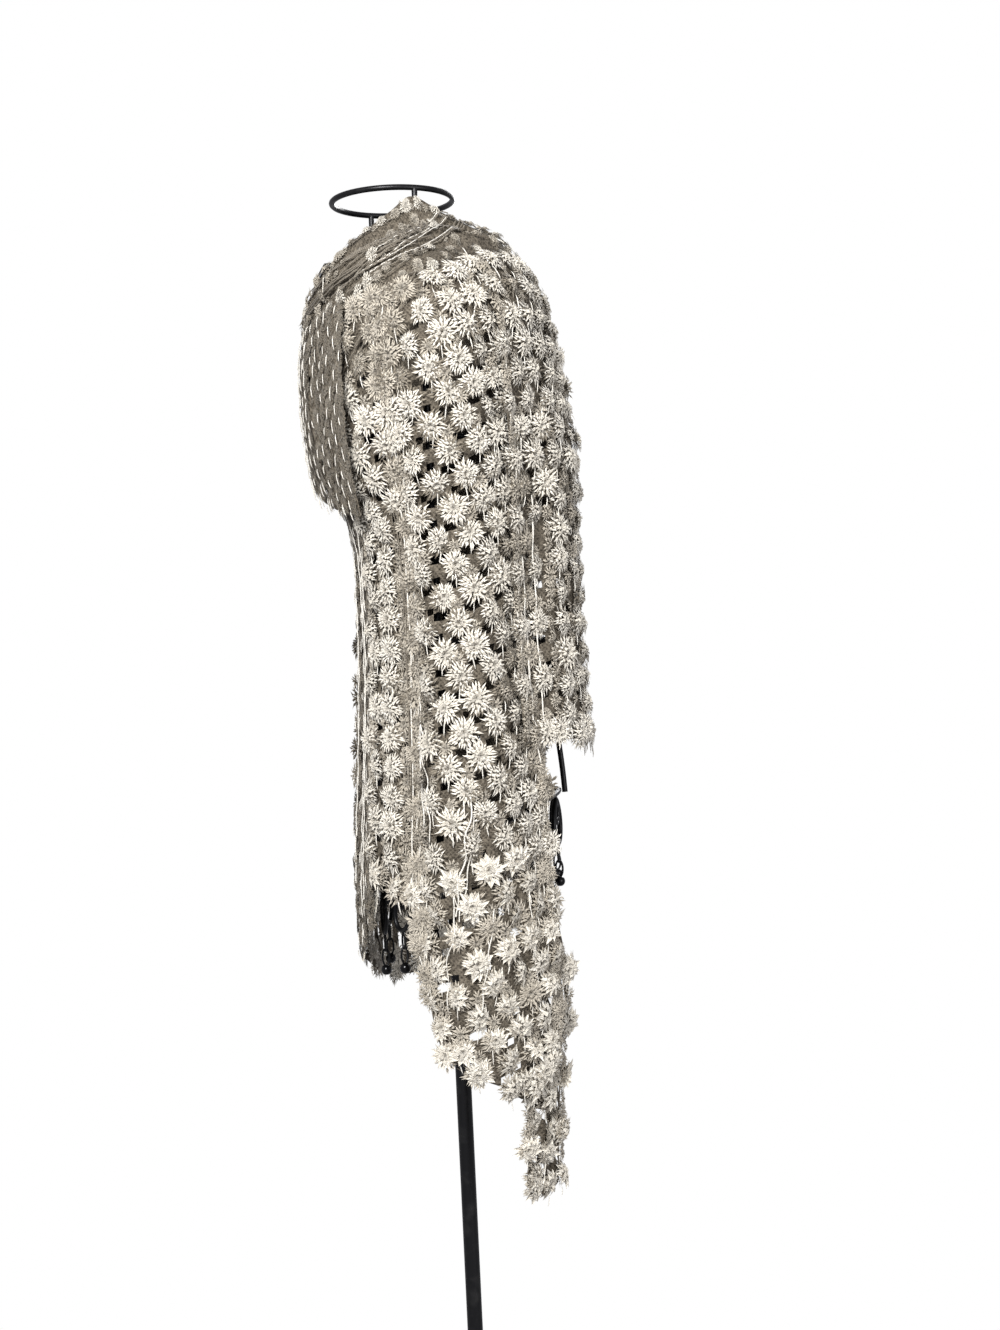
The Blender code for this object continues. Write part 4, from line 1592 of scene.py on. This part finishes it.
COWL_TOP = Table((
    (-180.0, 1.424), (-135.0, 1.400), (-90.0, 1.386), (-70.0, 1.392), (-45.0, 1.419),
    (-20.0, 1.452), (0.0, 1.473), (17.0, 1.489), (41.0, 1.473), (66.0, 1.461),
    (90.0, 1.451), (135.0, 1.439), (180.0, 1.424),
), True)
COWL_BOTTOM = Table((
    (-180.0, 1.385), (-120.0, 1.365), (-90.0, 1.355), (-45.0, 1.370), (0.0, 1.392),
    (45.0, 1.420), (90.0, 1.415), (180.0, 1.385),
), True)
NO_LIFT = Table(((0.0, 0.0), (1.0, 0.0)))
STRETCHES = (
    Stretch(
        "near_fall", -50.0, 46.0, COWL_BOTTOM,
        Table(((-50.0, 0.822), (-40.0, 0.806), (-30.0, 0.794), (-22.0, 0.770), (-17.0, 0.700),
               (-10.0, 0.654), (0.0, 0.632), (17.0, 0.612), (30.0, 0.596), (46.0, 0.640))),
        NO_LIFT, Side.FACE, 100, (0.200, 0.800), 0.152, ("upright_0", "bust_hoop"),
        creases=(
            Crease(6.0, 1.395, -20.0, 1.250, -0.0045, 0.012),
            Crease(25.0, 1.385, 31.0, 1.190, -0.0040, 0.010),
            Crease(2.0, 1.250, 5.0, 1.010, -0.0030, 0.009),
            Crease(19.0, 1.140, 15.0, 0.880, 0.0032, 0.010),
            Crease(-12.0, 0.965, -9.0, 0.850, 0.0045, 0.007),
            Crease(9.0, 0.900, 3.0, 0.790, 0.0050, 0.007),
            Crease(22.0, 0.870, 31.0, 0.650, -0.0055, 0.011),
            Crease(-5.0, 0.820, 8.0, 0.640, 0.0045, 0.010),
        ),
        columns=(Column(-32.0, 1.150, 0.812, 0.0286, 9.0),),
        ruffled_below=0.830,
        gap_share=Table(((0.60, 0.36), (0.82, 0.50), (0.90, 0.92), (1.33, 0.92), (1.35, 0.0))),
        fade=Table(((-50.0, 1.250), (-40.0, 1.276), (0.0, 1.400), (4.0, 2.0))),
        dark_strands=(
            Strand(2.0, 1.395, -40.0, 1.290, 12, 0.030, 0.0004),
            Strand(-12.0, 1.360, -30.0, 1.240, 8, 0.026, 0.0004),
            Strand(-25.0, 1.240, -23.0, 0.830, 7, 0.014, 0.0003),
            Strand(37.0, 1.330, 38.0, 0.950, 7, 0.014, 0.0003),
        ),
        strands=(
            Strand(-22.0, 1.180, -23.0, 0.800), Strand(-13.0, 1.000, -11.0, 0.860),
            Strand(10.0, 0.905, 2.0, 0.780, thickness=0.0005),
            Strand(11.5, 0.900, 3.2, 0.775, thickness=0.0004),
            Strand(-12.0, 0.970, -8.0, 0.850, thickness=0.0004),
            Strand(2.0, 0.800, -3.0, 0.690, thickness=0.0004),
            Strand(16.0, 0.785, 9.0, 0.680, thickness=0.0004),
            Strand(31.0, 0.840, 36.0, 0.660, thickness=0.0004),
        ),
    ),
    Stretch(
        "far_fall", -226.0, -52.0, COWL_BOTTOM,
        Table(((-226.0, 0.730), (-180.0, 0.715), (-150.0, 0.682), (-115.0, 0.695),
               (-80.0, 0.735), (-52.0, 0.765))),
        NO_LIFT, Side.REVERSE, 200, (0.430, 0.720), 0.276, ("upright_4", "bust_hoop"),
        gap_share=Table(((0.0, 1.0), (0.79, 1.0), (0.80, 0.30), (0.90, 0.30), (0.93, 0.06),
                         (1.30, 0.06), (1.33, 0.0))),
        upper_gap_share=0.0,
        lining_below=0.860,
        pitch=Table(((0.0, FLOWER_PITCH), (0.70, FLOWER_PITCH), (0.86, 0.017), (1.0, 0.014))),
        creases=(
            Crease(-214.0, 1.330, -208.0, 0.980, 0.0045, 0.011),
            Crease(-193.0, 1.300, -197.0, 0.860, -0.0040, 0.010),
            Crease(-171.0, 1.350, -166.0, 1.020, 0.0040, 0.011),
            Crease(-147.0, 1.240, -150.0, 0.820, -0.0050, 0.012),
            Crease(-118.0, 1.330, -124.0, 1.060, 0.0040, 0.010),
            Crease(-95.0, 1.180, -88.0, 0.800, 0.0040, 0.010),
        ),
        strands=(
            Strand(-59.0, 1.180, -58.0, 0.790, thickness=0.0004),
            Strand(-70.0, 1.190, -68.0, 0.780, thickness=0.0004),
            Strand(-84.0, 1.160, -81.0, 0.800, thickness=0.0004),
        ),
    ),
    Stretch(
        "back_fall", 34.0, 150.0, COWL_BOTTOM,
        Table(((34.0, 0.940), (60.0, 0.938), (100.0, 0.935), (150.0, 0.965))),
        Table(((0.0, 0.0032), (0.012, 0.0070), (0.040, 0.0100), (0.195, 0.0140), (0.270, 0.0100),
               (0.430, 0.0110), (0.520, 0.0120))),
        Side.FACE, 300, (0.340, 0.500), 0.158, ("near_fall_net", "far_fall_net"),
        creases=(
            Crease(50.0, 1.360, 47.0, 1.080, -0.0040, 0.010),
            Crease(78.0, 1.380, 84.0, 1.120, 0.0045, 0.012),
            Crease(108.0, 1.340, 104.0, 0.990, -0.0040, 0.010),
            Crease(132.0, 1.360, 138.0, 1.060, 0.0040, 0.011),
        ),
        columns=(Column(57.0, 1.180, 0.945, 0.0310, 8.0),),
        gap_share=Table(((0.0, 0.66), (2.0, 0.66))),
        upper_gap_share=0.15,
        strands=(Strand(44.0, 1.180, 45.0, 0.950), Strand(38.0, 1.120, 39.0, 0.960)),
    ),
    Stretch(
        "front_drape", -125.0, -36.0, COWL_BOTTOM,
        Table(((-125.0, 1.235), (-90.0, 1.212), (-60.0, 1.185), (-36.0, 1.168))),
        Table(((0.0, 0.0032), (0.012, 0.0070), (0.040, 0.0110), (0.135, 0.0180), (0.200, 0.0200))),
        Side.REVERSE, 400, (0.220, 0.210), 0.044, ("far_fall_net", "near_fall_net"),
        pitch=Table(((0.0, 0.0165), (1.0, 0.0145))),
        row_pitch=0.0150,
        gap_share=Table(((0.0, 0.75), (2.0, 0.75))),
        bar_share=0.95,
        flower_size=0.70,
        upper_gap_share=0.0,
        creases=(
            Crease(-112.0, 1.350, -108.0, 1.240, 0.0040, 0.009),
            Crease(-84.0, 1.350, -78.0, 1.220, -0.0040, 0.009),
            Crease(-60.0, 1.360, -56.0, 1.200, 0.0040, 0.008),
        ),
    ),
    Stretch(
        "lower_tail", 33.0, 58.0,
        Table(((33.0, 0.800), (47.0, 0.780), (58.0, 0.700))),
        Table(((33.0, 0.505), (47.0, 0.490), (58.0, 0.510))),
        Table(((0.0, -0.0036), (0.060, -0.0080), (0.160, -0.0110), (0.310, -0.0140))),
        Side.FACE, 500, (0.070, 0.310), 0.0175, ("near_fall_net",),
        gap_share=Table(((0.0, 1.0), (2.0, 1.0))),
        creases=(Crease(40.0, 0.740, 43.0, 0.530, 0.0040, 0.007),
                 Crease(52.0, 0.690, 50.0, 0.540, -0.0035, 0.007)),
        wave=0.006,
        ruffled_below=2.0,
    ),
)
COWL = Cowl(
    "neck_cowl", -180.0, 180.0, COWL_TOP, COWL_BOTTOM, NO_LIFT, Side.FACE, 600, (0.800, 0.075),
    0.051, ("neck_hoop",),
    pitch=Table(((0.0, 0.019), (1.0, 0.019))),
    row_pitch=0.019,
    gap_share=Table(((0.0, 0.0), (2.0, 0.0))),
    upper_gap_share=0.0,
    bar_share=0.16,
    hem_rise=-0.002,
    bloom_share=0.30,
    flower_size=0.62,
    closed=True,
    dark_strands=(
        Strand(50.0, 1.472, -40.0, 1.385, 22, 0.034, 0.0004),
        Strand(20.0, 1.440, -75.0, 1.375, 16, 0.020, 0.0004),
        Strand(60.0, 1.476, 150.0, 1.420, 18, 0.030, 0.0004),
        Strand(-80.0, 1.380, -170.0, 1.405, 14, 0.024, 0.0004),
    ),
    strands=(
        Strand(45.0, 1.470, -35.0, 1.392, 7, 0.030, 0.00028),
        Strand(75.0, 1.470, 140.0, 1.425, 5, 0.024, 0.00028),
        Strand(-90.0, 1.378, -160.0, 1.402, 5, 0.020, 0.00028),
    ),
    creases=(
        Crease(38.0, 1.452, -30.0, 1.392, 0.0050, 0.008),
        Crease(30.0, 1.438, -60.0, 1.372, -0.0045, 0.007),
        Crease(24.0, 1.470, -44.0, 1.408, -0.0040, 0.007),
        Crease(70.0, 1.470, 150.0, 1.420, 0.0045, 0.009),
        Crease(100.0, 1.440, 170.0, 1.400, -0.0040, 0.008),
        Crease(-170.0, 1.418, -110.0, 1.376, 0.0045, 0.008),
    ),
)


def wire_points(angle: np.ndarray, height: np.ndarray, further_in: float = 0.0) -> np.ndarray:
    """Points on the cage of the form, inside the cloth.

    Args:
        angle: Degrees round the form.
        height: Heights above the floor.
        further_in: How much deeper than the upright wires they lie.

    Returns:
        One point for each place.
    """
    lift = WIRE_LIFT.read(height) - further_in
    angle = np.asarray(angle, dtype=float) + np.zeros_like(lift)
    return body_points(angle, height) + body_normals(angle, height) * lift[..., None]


WIRE_LIFT = Table((
    (0.700, -0.0180), (0.900, -0.0180), (0.980, -0.0200), (1.230, -0.0200), (1.300, -0.0140),
    (1.370, -0.0062), (1.430, -0.0058),
))


def hem_height(angle: np.ndarray) -> np.ndarray:
    """Height of the tilted hem hoop."""
    return HEM_MIDDLE_HEIGHT + HEM_TILT * np.sin(np.radians(angle))


def hoop_points(angle: np.ndarray, height: np.ndarray) -> np.ndarray:
    """Points on a hoop that lies inside the upright wires."""
    return wire_points(angle, height, 2 * WIRE_RADIUS + WIRE_GAP)


@dataclass
class WireForm:
    """The cage of the dress form: neck, hoops, uprights and spokes."""

    uprights: int = 8
    around: int = 120
    upright_top: float = 1.424
    hub_radius: float = 0.018
    spoke_angles: tuple[float, ...] = (0.0, 90.0, 180.0, -90.0)

    def neck_circle(self, angle: np.ndarray, radius: float, height: float) -> np.ndarray:
        """Points on a circle round the middle of the neck."""
        turn = np.radians(np.asarray(angle, dtype=float))
        return np.stack([radius * np.cos(turn), NECK_CENTRE_Y + radius * np.sin(turn),
                         np.full_like(turn, height)], axis=-1)

    def neck_lines(self) -> list[tuple[np.ndarray, float, bool]]:
        """Lines of the neck ring, its hoop and its posts."""
        turn = np.arange(self.around) * 360.0 / self.around
        lines = [(self.neck_circle(turn, NECK_RADIUS, height), WIRE_RADIUS, True)
                 for height in (NECK_RING_HEIGHT, NECK_HOOP_HEIGHT)]
        for angle in NECK_POST_ANGLES:
            ends = [self.neck_circle(np.array([angle]), NECK_RADIUS, height)
                    for height in (NECK_RING_HEIGHT, NECK_HOOP_HEIGHT)]
            lines.append((np.concatenate(ends), WIRE_RADIUS, False))
        return lines

    def hoop_lines(self) -> list[tuple[np.ndarray, float, bool]]:
        """Lines of the bust, waist and hem hoops."""
        turn = np.arange(self.around) * 360.0 / self.around
        heights = (np.full_like(turn, BUST_HEIGHT), np.full_like(turn, WAIST_HEIGHT),
                   hem_height(turn))
        return [(hoop_points(turn, height), WIRE_RADIUS, True) for height in heights]

    def upright_lines(self) -> list[tuple[np.ndarray, float, bool]]:
        """Lines from the neck hoop over the shoulders to the hem."""
        start = NECK_RADIUS + WIRE_RADIUS + WIRE_GAP
        lines = []
        for number in range(self.uprights):
            angle = 360.0 * number / self.uprights
            bottom = float(hem_height(np.array(angle))) - WIRE_RADIUS
            neck = [self.neck_circle(np.array([angle]), radius, NECK_HOOP_HEIGHT)
                    for radius in (start - WIRE_RADIUS, start + WIRE_RADIUS, start + 2 * WIRE_RADIUS)]
            height = np.linspace(self.upright_top, bottom, 90)
            lines.append((np.concatenate([*neck, wire_points(angle, height)]), WIRE_RADIUS, False))
        return lines

    def spoke_lines(self) -> list[tuple[np.ndarray, float, bool]]:
        """Lines from the hub to the hem hoop, bent a little near both ends."""
        lines = []
        for angle in self.spoke_angles:
            hoop = hoop_points(np.array([angle]), hem_height(np.array([angle])))[0]
            outward = np.array([cos(radians(angle)), sin(radians(angle)), 0.0])
            inner = outward * self.hub_radius
            inner[2] = HEM_MIDDLE_HEIGHT
            outer = hoop - outward * WIRE_RADIUS
            share = np.linspace(0.0, 1.0, 24)[:, None]
            eased = share * share * (3.0 - 2.0 * share)
            line = inner + (outer - inner) * share
            line[:, 2:] = inner[2] + (outer[2] - inner[2]) * eased
            lines.append((line, WIRE_RADIUS, False))
        return lines

    def build(self, palette: Palette) -> None:
        """Make the cage.

        Args:
            palette: The finishes.
        """
        iron = palette.get(palette.iron)
        neck = sweep("neck_wires", self.neck_lines(), 12, iron)
        dress(neck, Slot.METAL, "neck_ring", "neck_hoop", "neck_post_0", "neck_post_1")
        cage_lines = self.hoop_lines() + self.upright_lines() + self.spoke_lines()
        cage = sweep("cage_wires", cage_lines, 10, iron)
        dress(cage, Slot.METAL, "bust_hoop", "waist_hoop", "hem_hoop",
              *(f"upright_{number}" for number in range(self.uprights)),
              *(f"spoke_{number}" for number in range(len(self.spoke_angles))))
        LOG.info("cage: %d wires", len(cage_lines) + len(self.neck_lines()))


@dataclass
class HemScrolls:
    """Petal loops under the hem hoop, each with curls, oval links and a bead."""

    count: int = 12
    half_width: float = 0.020
    drop: float = 0.046
    loop_wire: float = WIRE_RADIUS * 0.8
    curl_wire: float = WIRE_RADIUS * 0.6
    curl_radius: float = 0.0085
    link_count: int = 2
    link_half_width: float = 0.0036
    link_wire: float = 0.0011
    bead_radius: float = 0.0054
    hole_radius: float = 0.0016
    hole_flatness: float = 0.90
    tangent_step: float = 15.0

    def petal_loop(self, start: np.ndarray, across: np.ndarray) -> np.ndarray:
        """Points of one petal loop under the hem.

        Args:
            start: Its top.
            across: Direction along the hem.

        Returns:
            Points round the loop.
        """
        turn = np.arange(48) * tau / 48
        sideways = self.half_width * np.sin(turn) * np.abs(np.sin(turn / 2)) ** 0.6
        down = self.drop * (0.5 - 0.5 * np.cos(turn))
        return start + sideways[:, None] * across - down[:, None] * UP

    def curl(self, start: np.ndarray, across: np.ndarray, hand: float) -> np.ndarray:
        """Points of a small curl inside the petal loop.

        Args:
            start: Top of the petal loop.
            across: Direction along the hem.
            hand: 1 or -1 for the side it turns to.

        Returns:
            Points along the curl.
        """
        share = np.linspace(0.0, 1.0, 26)
        turn = share * tau * 0.9
        radius = self.curl_radius * (1.0 - 0.55 * share)
        sideways = hand * (0.0005 + radius * np.sin(turn))
        down = 0.004 + 0.0090 + 0.010 * share - radius * np.cos(turn)
        return start + sideways[:, None] * across - down[:, None] * UP

    def chain(self, top: np.ndarray, across: np.ndarray,
              bead_down: float) -> list[tuple[np.ndarray, float, bool]]:
        """Lines of the oval links above a bead, each turned a quarter from the last.

        Args:
            top: Where the chain hangs.
            across: Direction along the hem.
            bead_down: How far below the top the bead's middle lies.

        Returns:
            The lines.
        """
        outward = unit(np.cross(across, UP))
        turn = np.arange(18) * tau / 18
        room = bead_down - self.bead_radius
        pitch = room / self.link_count
        lines = []
        for number in range(self.link_count):
            flat = across if number % 2 == 0 else outward
            middle = top - UP * (pitch * (number + 0.5))
            half = pitch / 2 + self.link_wire
            ring = (middle + self.link_half_width * np.sin(turn)[:, None] * flat
                    + half * np.cos(turn)[:, None] * UP)
            lines.append((ring, self.link_wire, True))
        return lines

    def build(self, palette: Palette) -> None:
        """Make the loops, the chains and the beads.

        Args:
            palette: The finishes.
        """
        step = self.tangent_step
        loops = []
        links = []
        beads = []
        for number in range(self.count):
            angle = 360.0 * (number + 0.5) / self.count
            near = np.array([angle, angle + step, angle - step])
            top, ahead, behind = hoop_points(near, hem_height(near))
            across = unit(ahead - behind)
            gap = 2 * WIRE_RADIUS * cos(pi / 6) + WIRE_GAP + abs(across[2]) * WIRE_RADIUS / 2
            start = top - UP * gap
            loops.append((self.petal_loop(start, across), self.loop_wire, True))
            for hand in (-1.0, 1.0):
                loops.append((self.curl(start, across, hand), self.curl_wire, False))
            hang = start - UP * (self.drop + self.loop_wire)
            node_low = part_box(f"drop_{number}")[0]
            bead_down = float(hang[2] - node_low.z) - self.bead_radius
            links.extend(self.chain(hang, across, bead_down))
            beads.append(hang - UP * bead_down)
        loop_piece = sweep("petal_loops", loops, 8, palette.get(palette.iron))
        bead_piece = self.build_beads(beads, palette.get(palette.bead))
        link_piece = sweep("oval_links", links, 6, palette.get(palette.iron))
        dress(loop_piece, Slot.METAL, *(f"scroll_{number}" for number in range(self.count)))
        dress(bead_piece, Slot.METAL, *(f"drop_{number}" for number in range(self.count)))
        dress(link_piece, Slot.METAL)
        LOG.info("hem: %d petal loops with beads", self.count)

    def build_beads(self, centres: list[np.ndarray], material: Material) -> Object:
        """Make the round beads with their drilled ends.

        Args:
            centres: Middle of each bead.
            material: Their finish.

        Returns:
            The beads as one piece.
        """
        shape = bmesh.new()
        for centre in centres:
            made = bmesh.ops.create_uvsphere(
                shape, u_segments=24, v_segments=14, radius=self.bead_radius,
                matrix=Matrix.Translation(Vector(centre)))
            for vertex in made["verts"]:
                away = vertex.co - Vector(centre)
                round_hole = Vector((away.x, away.y)).length
                if round_hole < self.hole_radius:
                    vertex.co.z = centre[2] + away.z * self.hole_flatness
        mesh = bpy.data.meshes.new("hem_beads")
        shape.to_mesh(mesh)
        shape.free()
        mesh.shade_smooth()
        mesh.materials.append(material)
        return link_object("hem_beads", mesh)


@dataclass
class Stand:
    """The round base, the pole and the hub."""

    base_radius: float = 0.150
    base_thickness: float = 0.007
    base_edge: float = 0.002
    boss_radius: float = 0.020
    boss_top: float = 0.030
    pole_radius: float = 0.00795
    hub_radius: float = 0.018
    hub_half_height: float = 0.012
    sides: int = 96

    def turned(self, name: str, profile: list[tuple[float, float]],
               material: Material) -> Object:
        """Turn a profile about the pole's axis.

        Args:
            name: Name of the piece.
            profile: Radius and height of each point, first and last on the axis.
            material: Its finish.

        Returns:
            The piece.
        """
        shape = bmesh.new()
        verts = [shape.verts.new((radius, 0.0, height)) for radius, height in profile]
        edges = [shape.edges.new(pair) for pair in zip(verts, verts[1:])]
        bmesh.ops.spin(shape, geom=verts + edges, axis=(0.0, 0.0, 1.0), cent=(0.0, 0.0, 0.0),
                       angle=tau, steps=self.sides, use_merge=True)
        bmesh.ops.remove_doubles(shape, verts=shape.verts, dist=1e-6)
        bmesh.ops.recalc_face_normals(shape, faces=shape.faces)
        mesh = bpy.data.meshes.new(name)
        shape.to_mesh(mesh)
        shape.free()
        mesh.shade_smooth()
        mesh.set_sharp_from_angle(angle=radians(35.0))
        mesh.materials.append(material)
        return link_object(name, mesh)

    def build(self, palette: Palette) -> None:
        """Make the three pieces.

        Args:
            palette: The finishes.
        """
        iron = palette.get(palette.iron)
        edge = self.base_edge
        rim = [(self.base_radius - edge + edge * sin(turn), edge - edge * cos(turn))
               for turn in (radians(15.0 * step) for step in range(7))]
        upper = [(radius, self.base_thickness - height) for radius, height in reversed(rim)]
        base = [(0.0, 0.0), *rim, *upper, (self.boss_radius + edge, self.base_thickness + edge / 2),
                (self.boss_radius, self.base_thickness + 2 * edge),
                (self.boss_radius, self.boss_top - edge), (self.boss_radius - edge, self.boss_top),
                (0.0, self.boss_top)]
        hub_low = HEM_MIDDLE_HEIGHT - self.hub_half_height
        hub_high = HEM_MIDDLE_HEIGHT + self.hub_half_height
        chamfer = 0.0015
        hub = [(0.0, hub_low), (self.hub_radius - chamfer, hub_low), (self.hub_radius, hub_low + chamfer),
               (self.hub_radius, hub_high - chamfer), (self.hub_radius - chamfer, hub_high),
               (0.0, hub_high)]
        pole = [(0.0, self.boss_top), (self.pole_radius, self.boss_top), (self.pole_radius, hub_low),
                (0.0, hub_low)]
        for name, node, profile in (("round_base", "stand_base", base), ("pole_tube", "pole", pole),
                                    ("hub_block", "hub", hub)):
            dress(self.turned(name, profile, iron), Slot.METAL, node)
        LOG.info("stand: base, pole and hub")


@dataclass(frozen=True)
class Lamp:
    """A soft square light: its place, its side and its power in watts."""

    name: str
    place: tuple[float, float, float]
    size: float
    power: float


@dataclass
class Studio:
    """Camera, floor, world and lights."""

    camera_place: tuple[float, float, float] = (2.04, 0.058, 1.0156)
    camera_roll: float = -2.7
    lens: float = 53.3
    floor_radius: float = 6.0
    fade_start: float = 0.35
    fade_end: float = 0.95
    aim: tuple[float, float, float] = (0.0, 0.0, 1.05)
    lamps: tuple[Lamp, ...] = (
        Lamp("key_light", (2.3, -0.6, 2.2), 0.8, 105.0),
        Lamp("fill_light", (1.9, 1.6, 1.2), 1.3, 22.0),
        Lamp("back_light", (-2.2, 0.9, 2.1), 1.4, 50.0),
    )

    def build_camera(self) -> None:
        """Set the camera where the photograph was taken from."""
        data = bpy.data.cameras.new("camera")
        data.sensor_width = 36.0
        data.lens = self.lens
        camera = bpy.data.objects.new("camera", data)
        bpy.context.scene.collection.objects.link(camera)
        level = Matrix(((0, 0, 1), (1, 0, 0), (0, 1, 0)))
        turned = level @ Matrix.Rotation(radians(self.camera_roll), 3, "Z")
        camera.matrix_world = Matrix.Translation(self.camera_place) @ turned.to_4x4()
        bpy.context.scene.camera = camera

    def build_floor(self) -> None:
        """Lay a plain pale floor that fades into the white behind it."""
        shape = bmesh.new()
        bmesh.ops.create_circle(shape, cap_ends=True, radius=self.floor_radius, segments=96)
        mesh = bpy.data.meshes.new("floor")
        shape.to_mesh(mesh)
        shape.free()
        material = bpy.data.materials.new("pale_floor")
        material.use_nodes = True
        recipe = Recipe(material.node_tree)
        shader = material.node_tree.nodes["Principled BSDF"]
        place = recipe.node("ShaderNodeTexCoord")
        away = recipe.node("ShaderNodeVectorMath", operation="LENGTH")
        recipe.join(place, "Object", away, 0)
        fade = recipe.spread(away.outputs["Value"], self.fade_start, self.fade_end)
        recipe.link(recipe.mix(fade, (0.80, 0.80, 0.79, 1), (0.0, 0.0, 0.0, 1)),
                    shader.inputs["Base Color"])
        recipe.link(recipe.mix(fade, (0.0, 0.0, 0.0, 1), (1.0, 1.0, 1.0, 1)),
                    shader.inputs["Emission Color"])
        shader.inputs["Emission Strength"].default_value = 1.0
        shader.inputs["Specular IOR Level"].default_value = 0.0
        shader.inputs["Roughness"].default_value = 0.9
        mesh.materials.append(material)
        floor = link_object("floor", mesh)
        floor.visible_diffuse = False
        floor.visible_glossy = False

    def build_world(self) -> None:
        """Show white behind the object, and light it softly."""
        world = bpy.data.worlds.new("studio")
        bpy.context.scene.world = world
        world.use_nodes = True
        recipe = Recipe(world.node_tree)
        background = world.node_tree.nodes["Background"]
        path = recipe.node("ShaderNodeLightPath")
        soft = (0.36, 0.36, 0.38, 1)
        recipe.link(recipe.mix(path.outputs["Is Camera Ray"], soft, (1.0, 1.0, 1.0, 1)),
                    background.inputs["Color"])

    def build_light(self, lamp: Lamp) -> None:
        """Hang a light that faces the shawl.

        Args:
            lamp: The light.
        """
        data = bpy.data.lights.new(lamp.name, "AREA")
        data.size = lamp.size
        data.energy = lamp.power
        light = bpy.data.objects.new(lamp.name, data)
        bpy.context.scene.collection.objects.link(light)
        aim = Vector(self.aim) - Vector(lamp.place)
        light.location = lamp.place
        light.rotation_euler = aim.to_track_quat("-Z", "Y").to_euler()

    def build(self) -> None:
        """Set the whole studio."""
        bpy.context.scene.view_settings.view_transform = "Standard"
        self.build_camera()
        self.build_floor()
        self.build_world()
        for lamp in self.lamps:
            self.build_light(lamp)
        LOG.info("studio set")


def main() -> None:
    """Build the studio, the form and every stretch of the shawl."""
    logging.basicConfig(level=logging.INFO, format="%(name)s: %(message)s")
    palette = Palette()
    Studio().build()
    WireForm().build(palette)
    HemScrolls().build(palette)
    Stand().build(palette)
    shapes = Shapes()
    shapes.build()
    for stretch in (COWL, *STRETCHES):
        stretch.build(shapes, palette)
    shapes.clear()


if __name__ == "__main__":
    main()
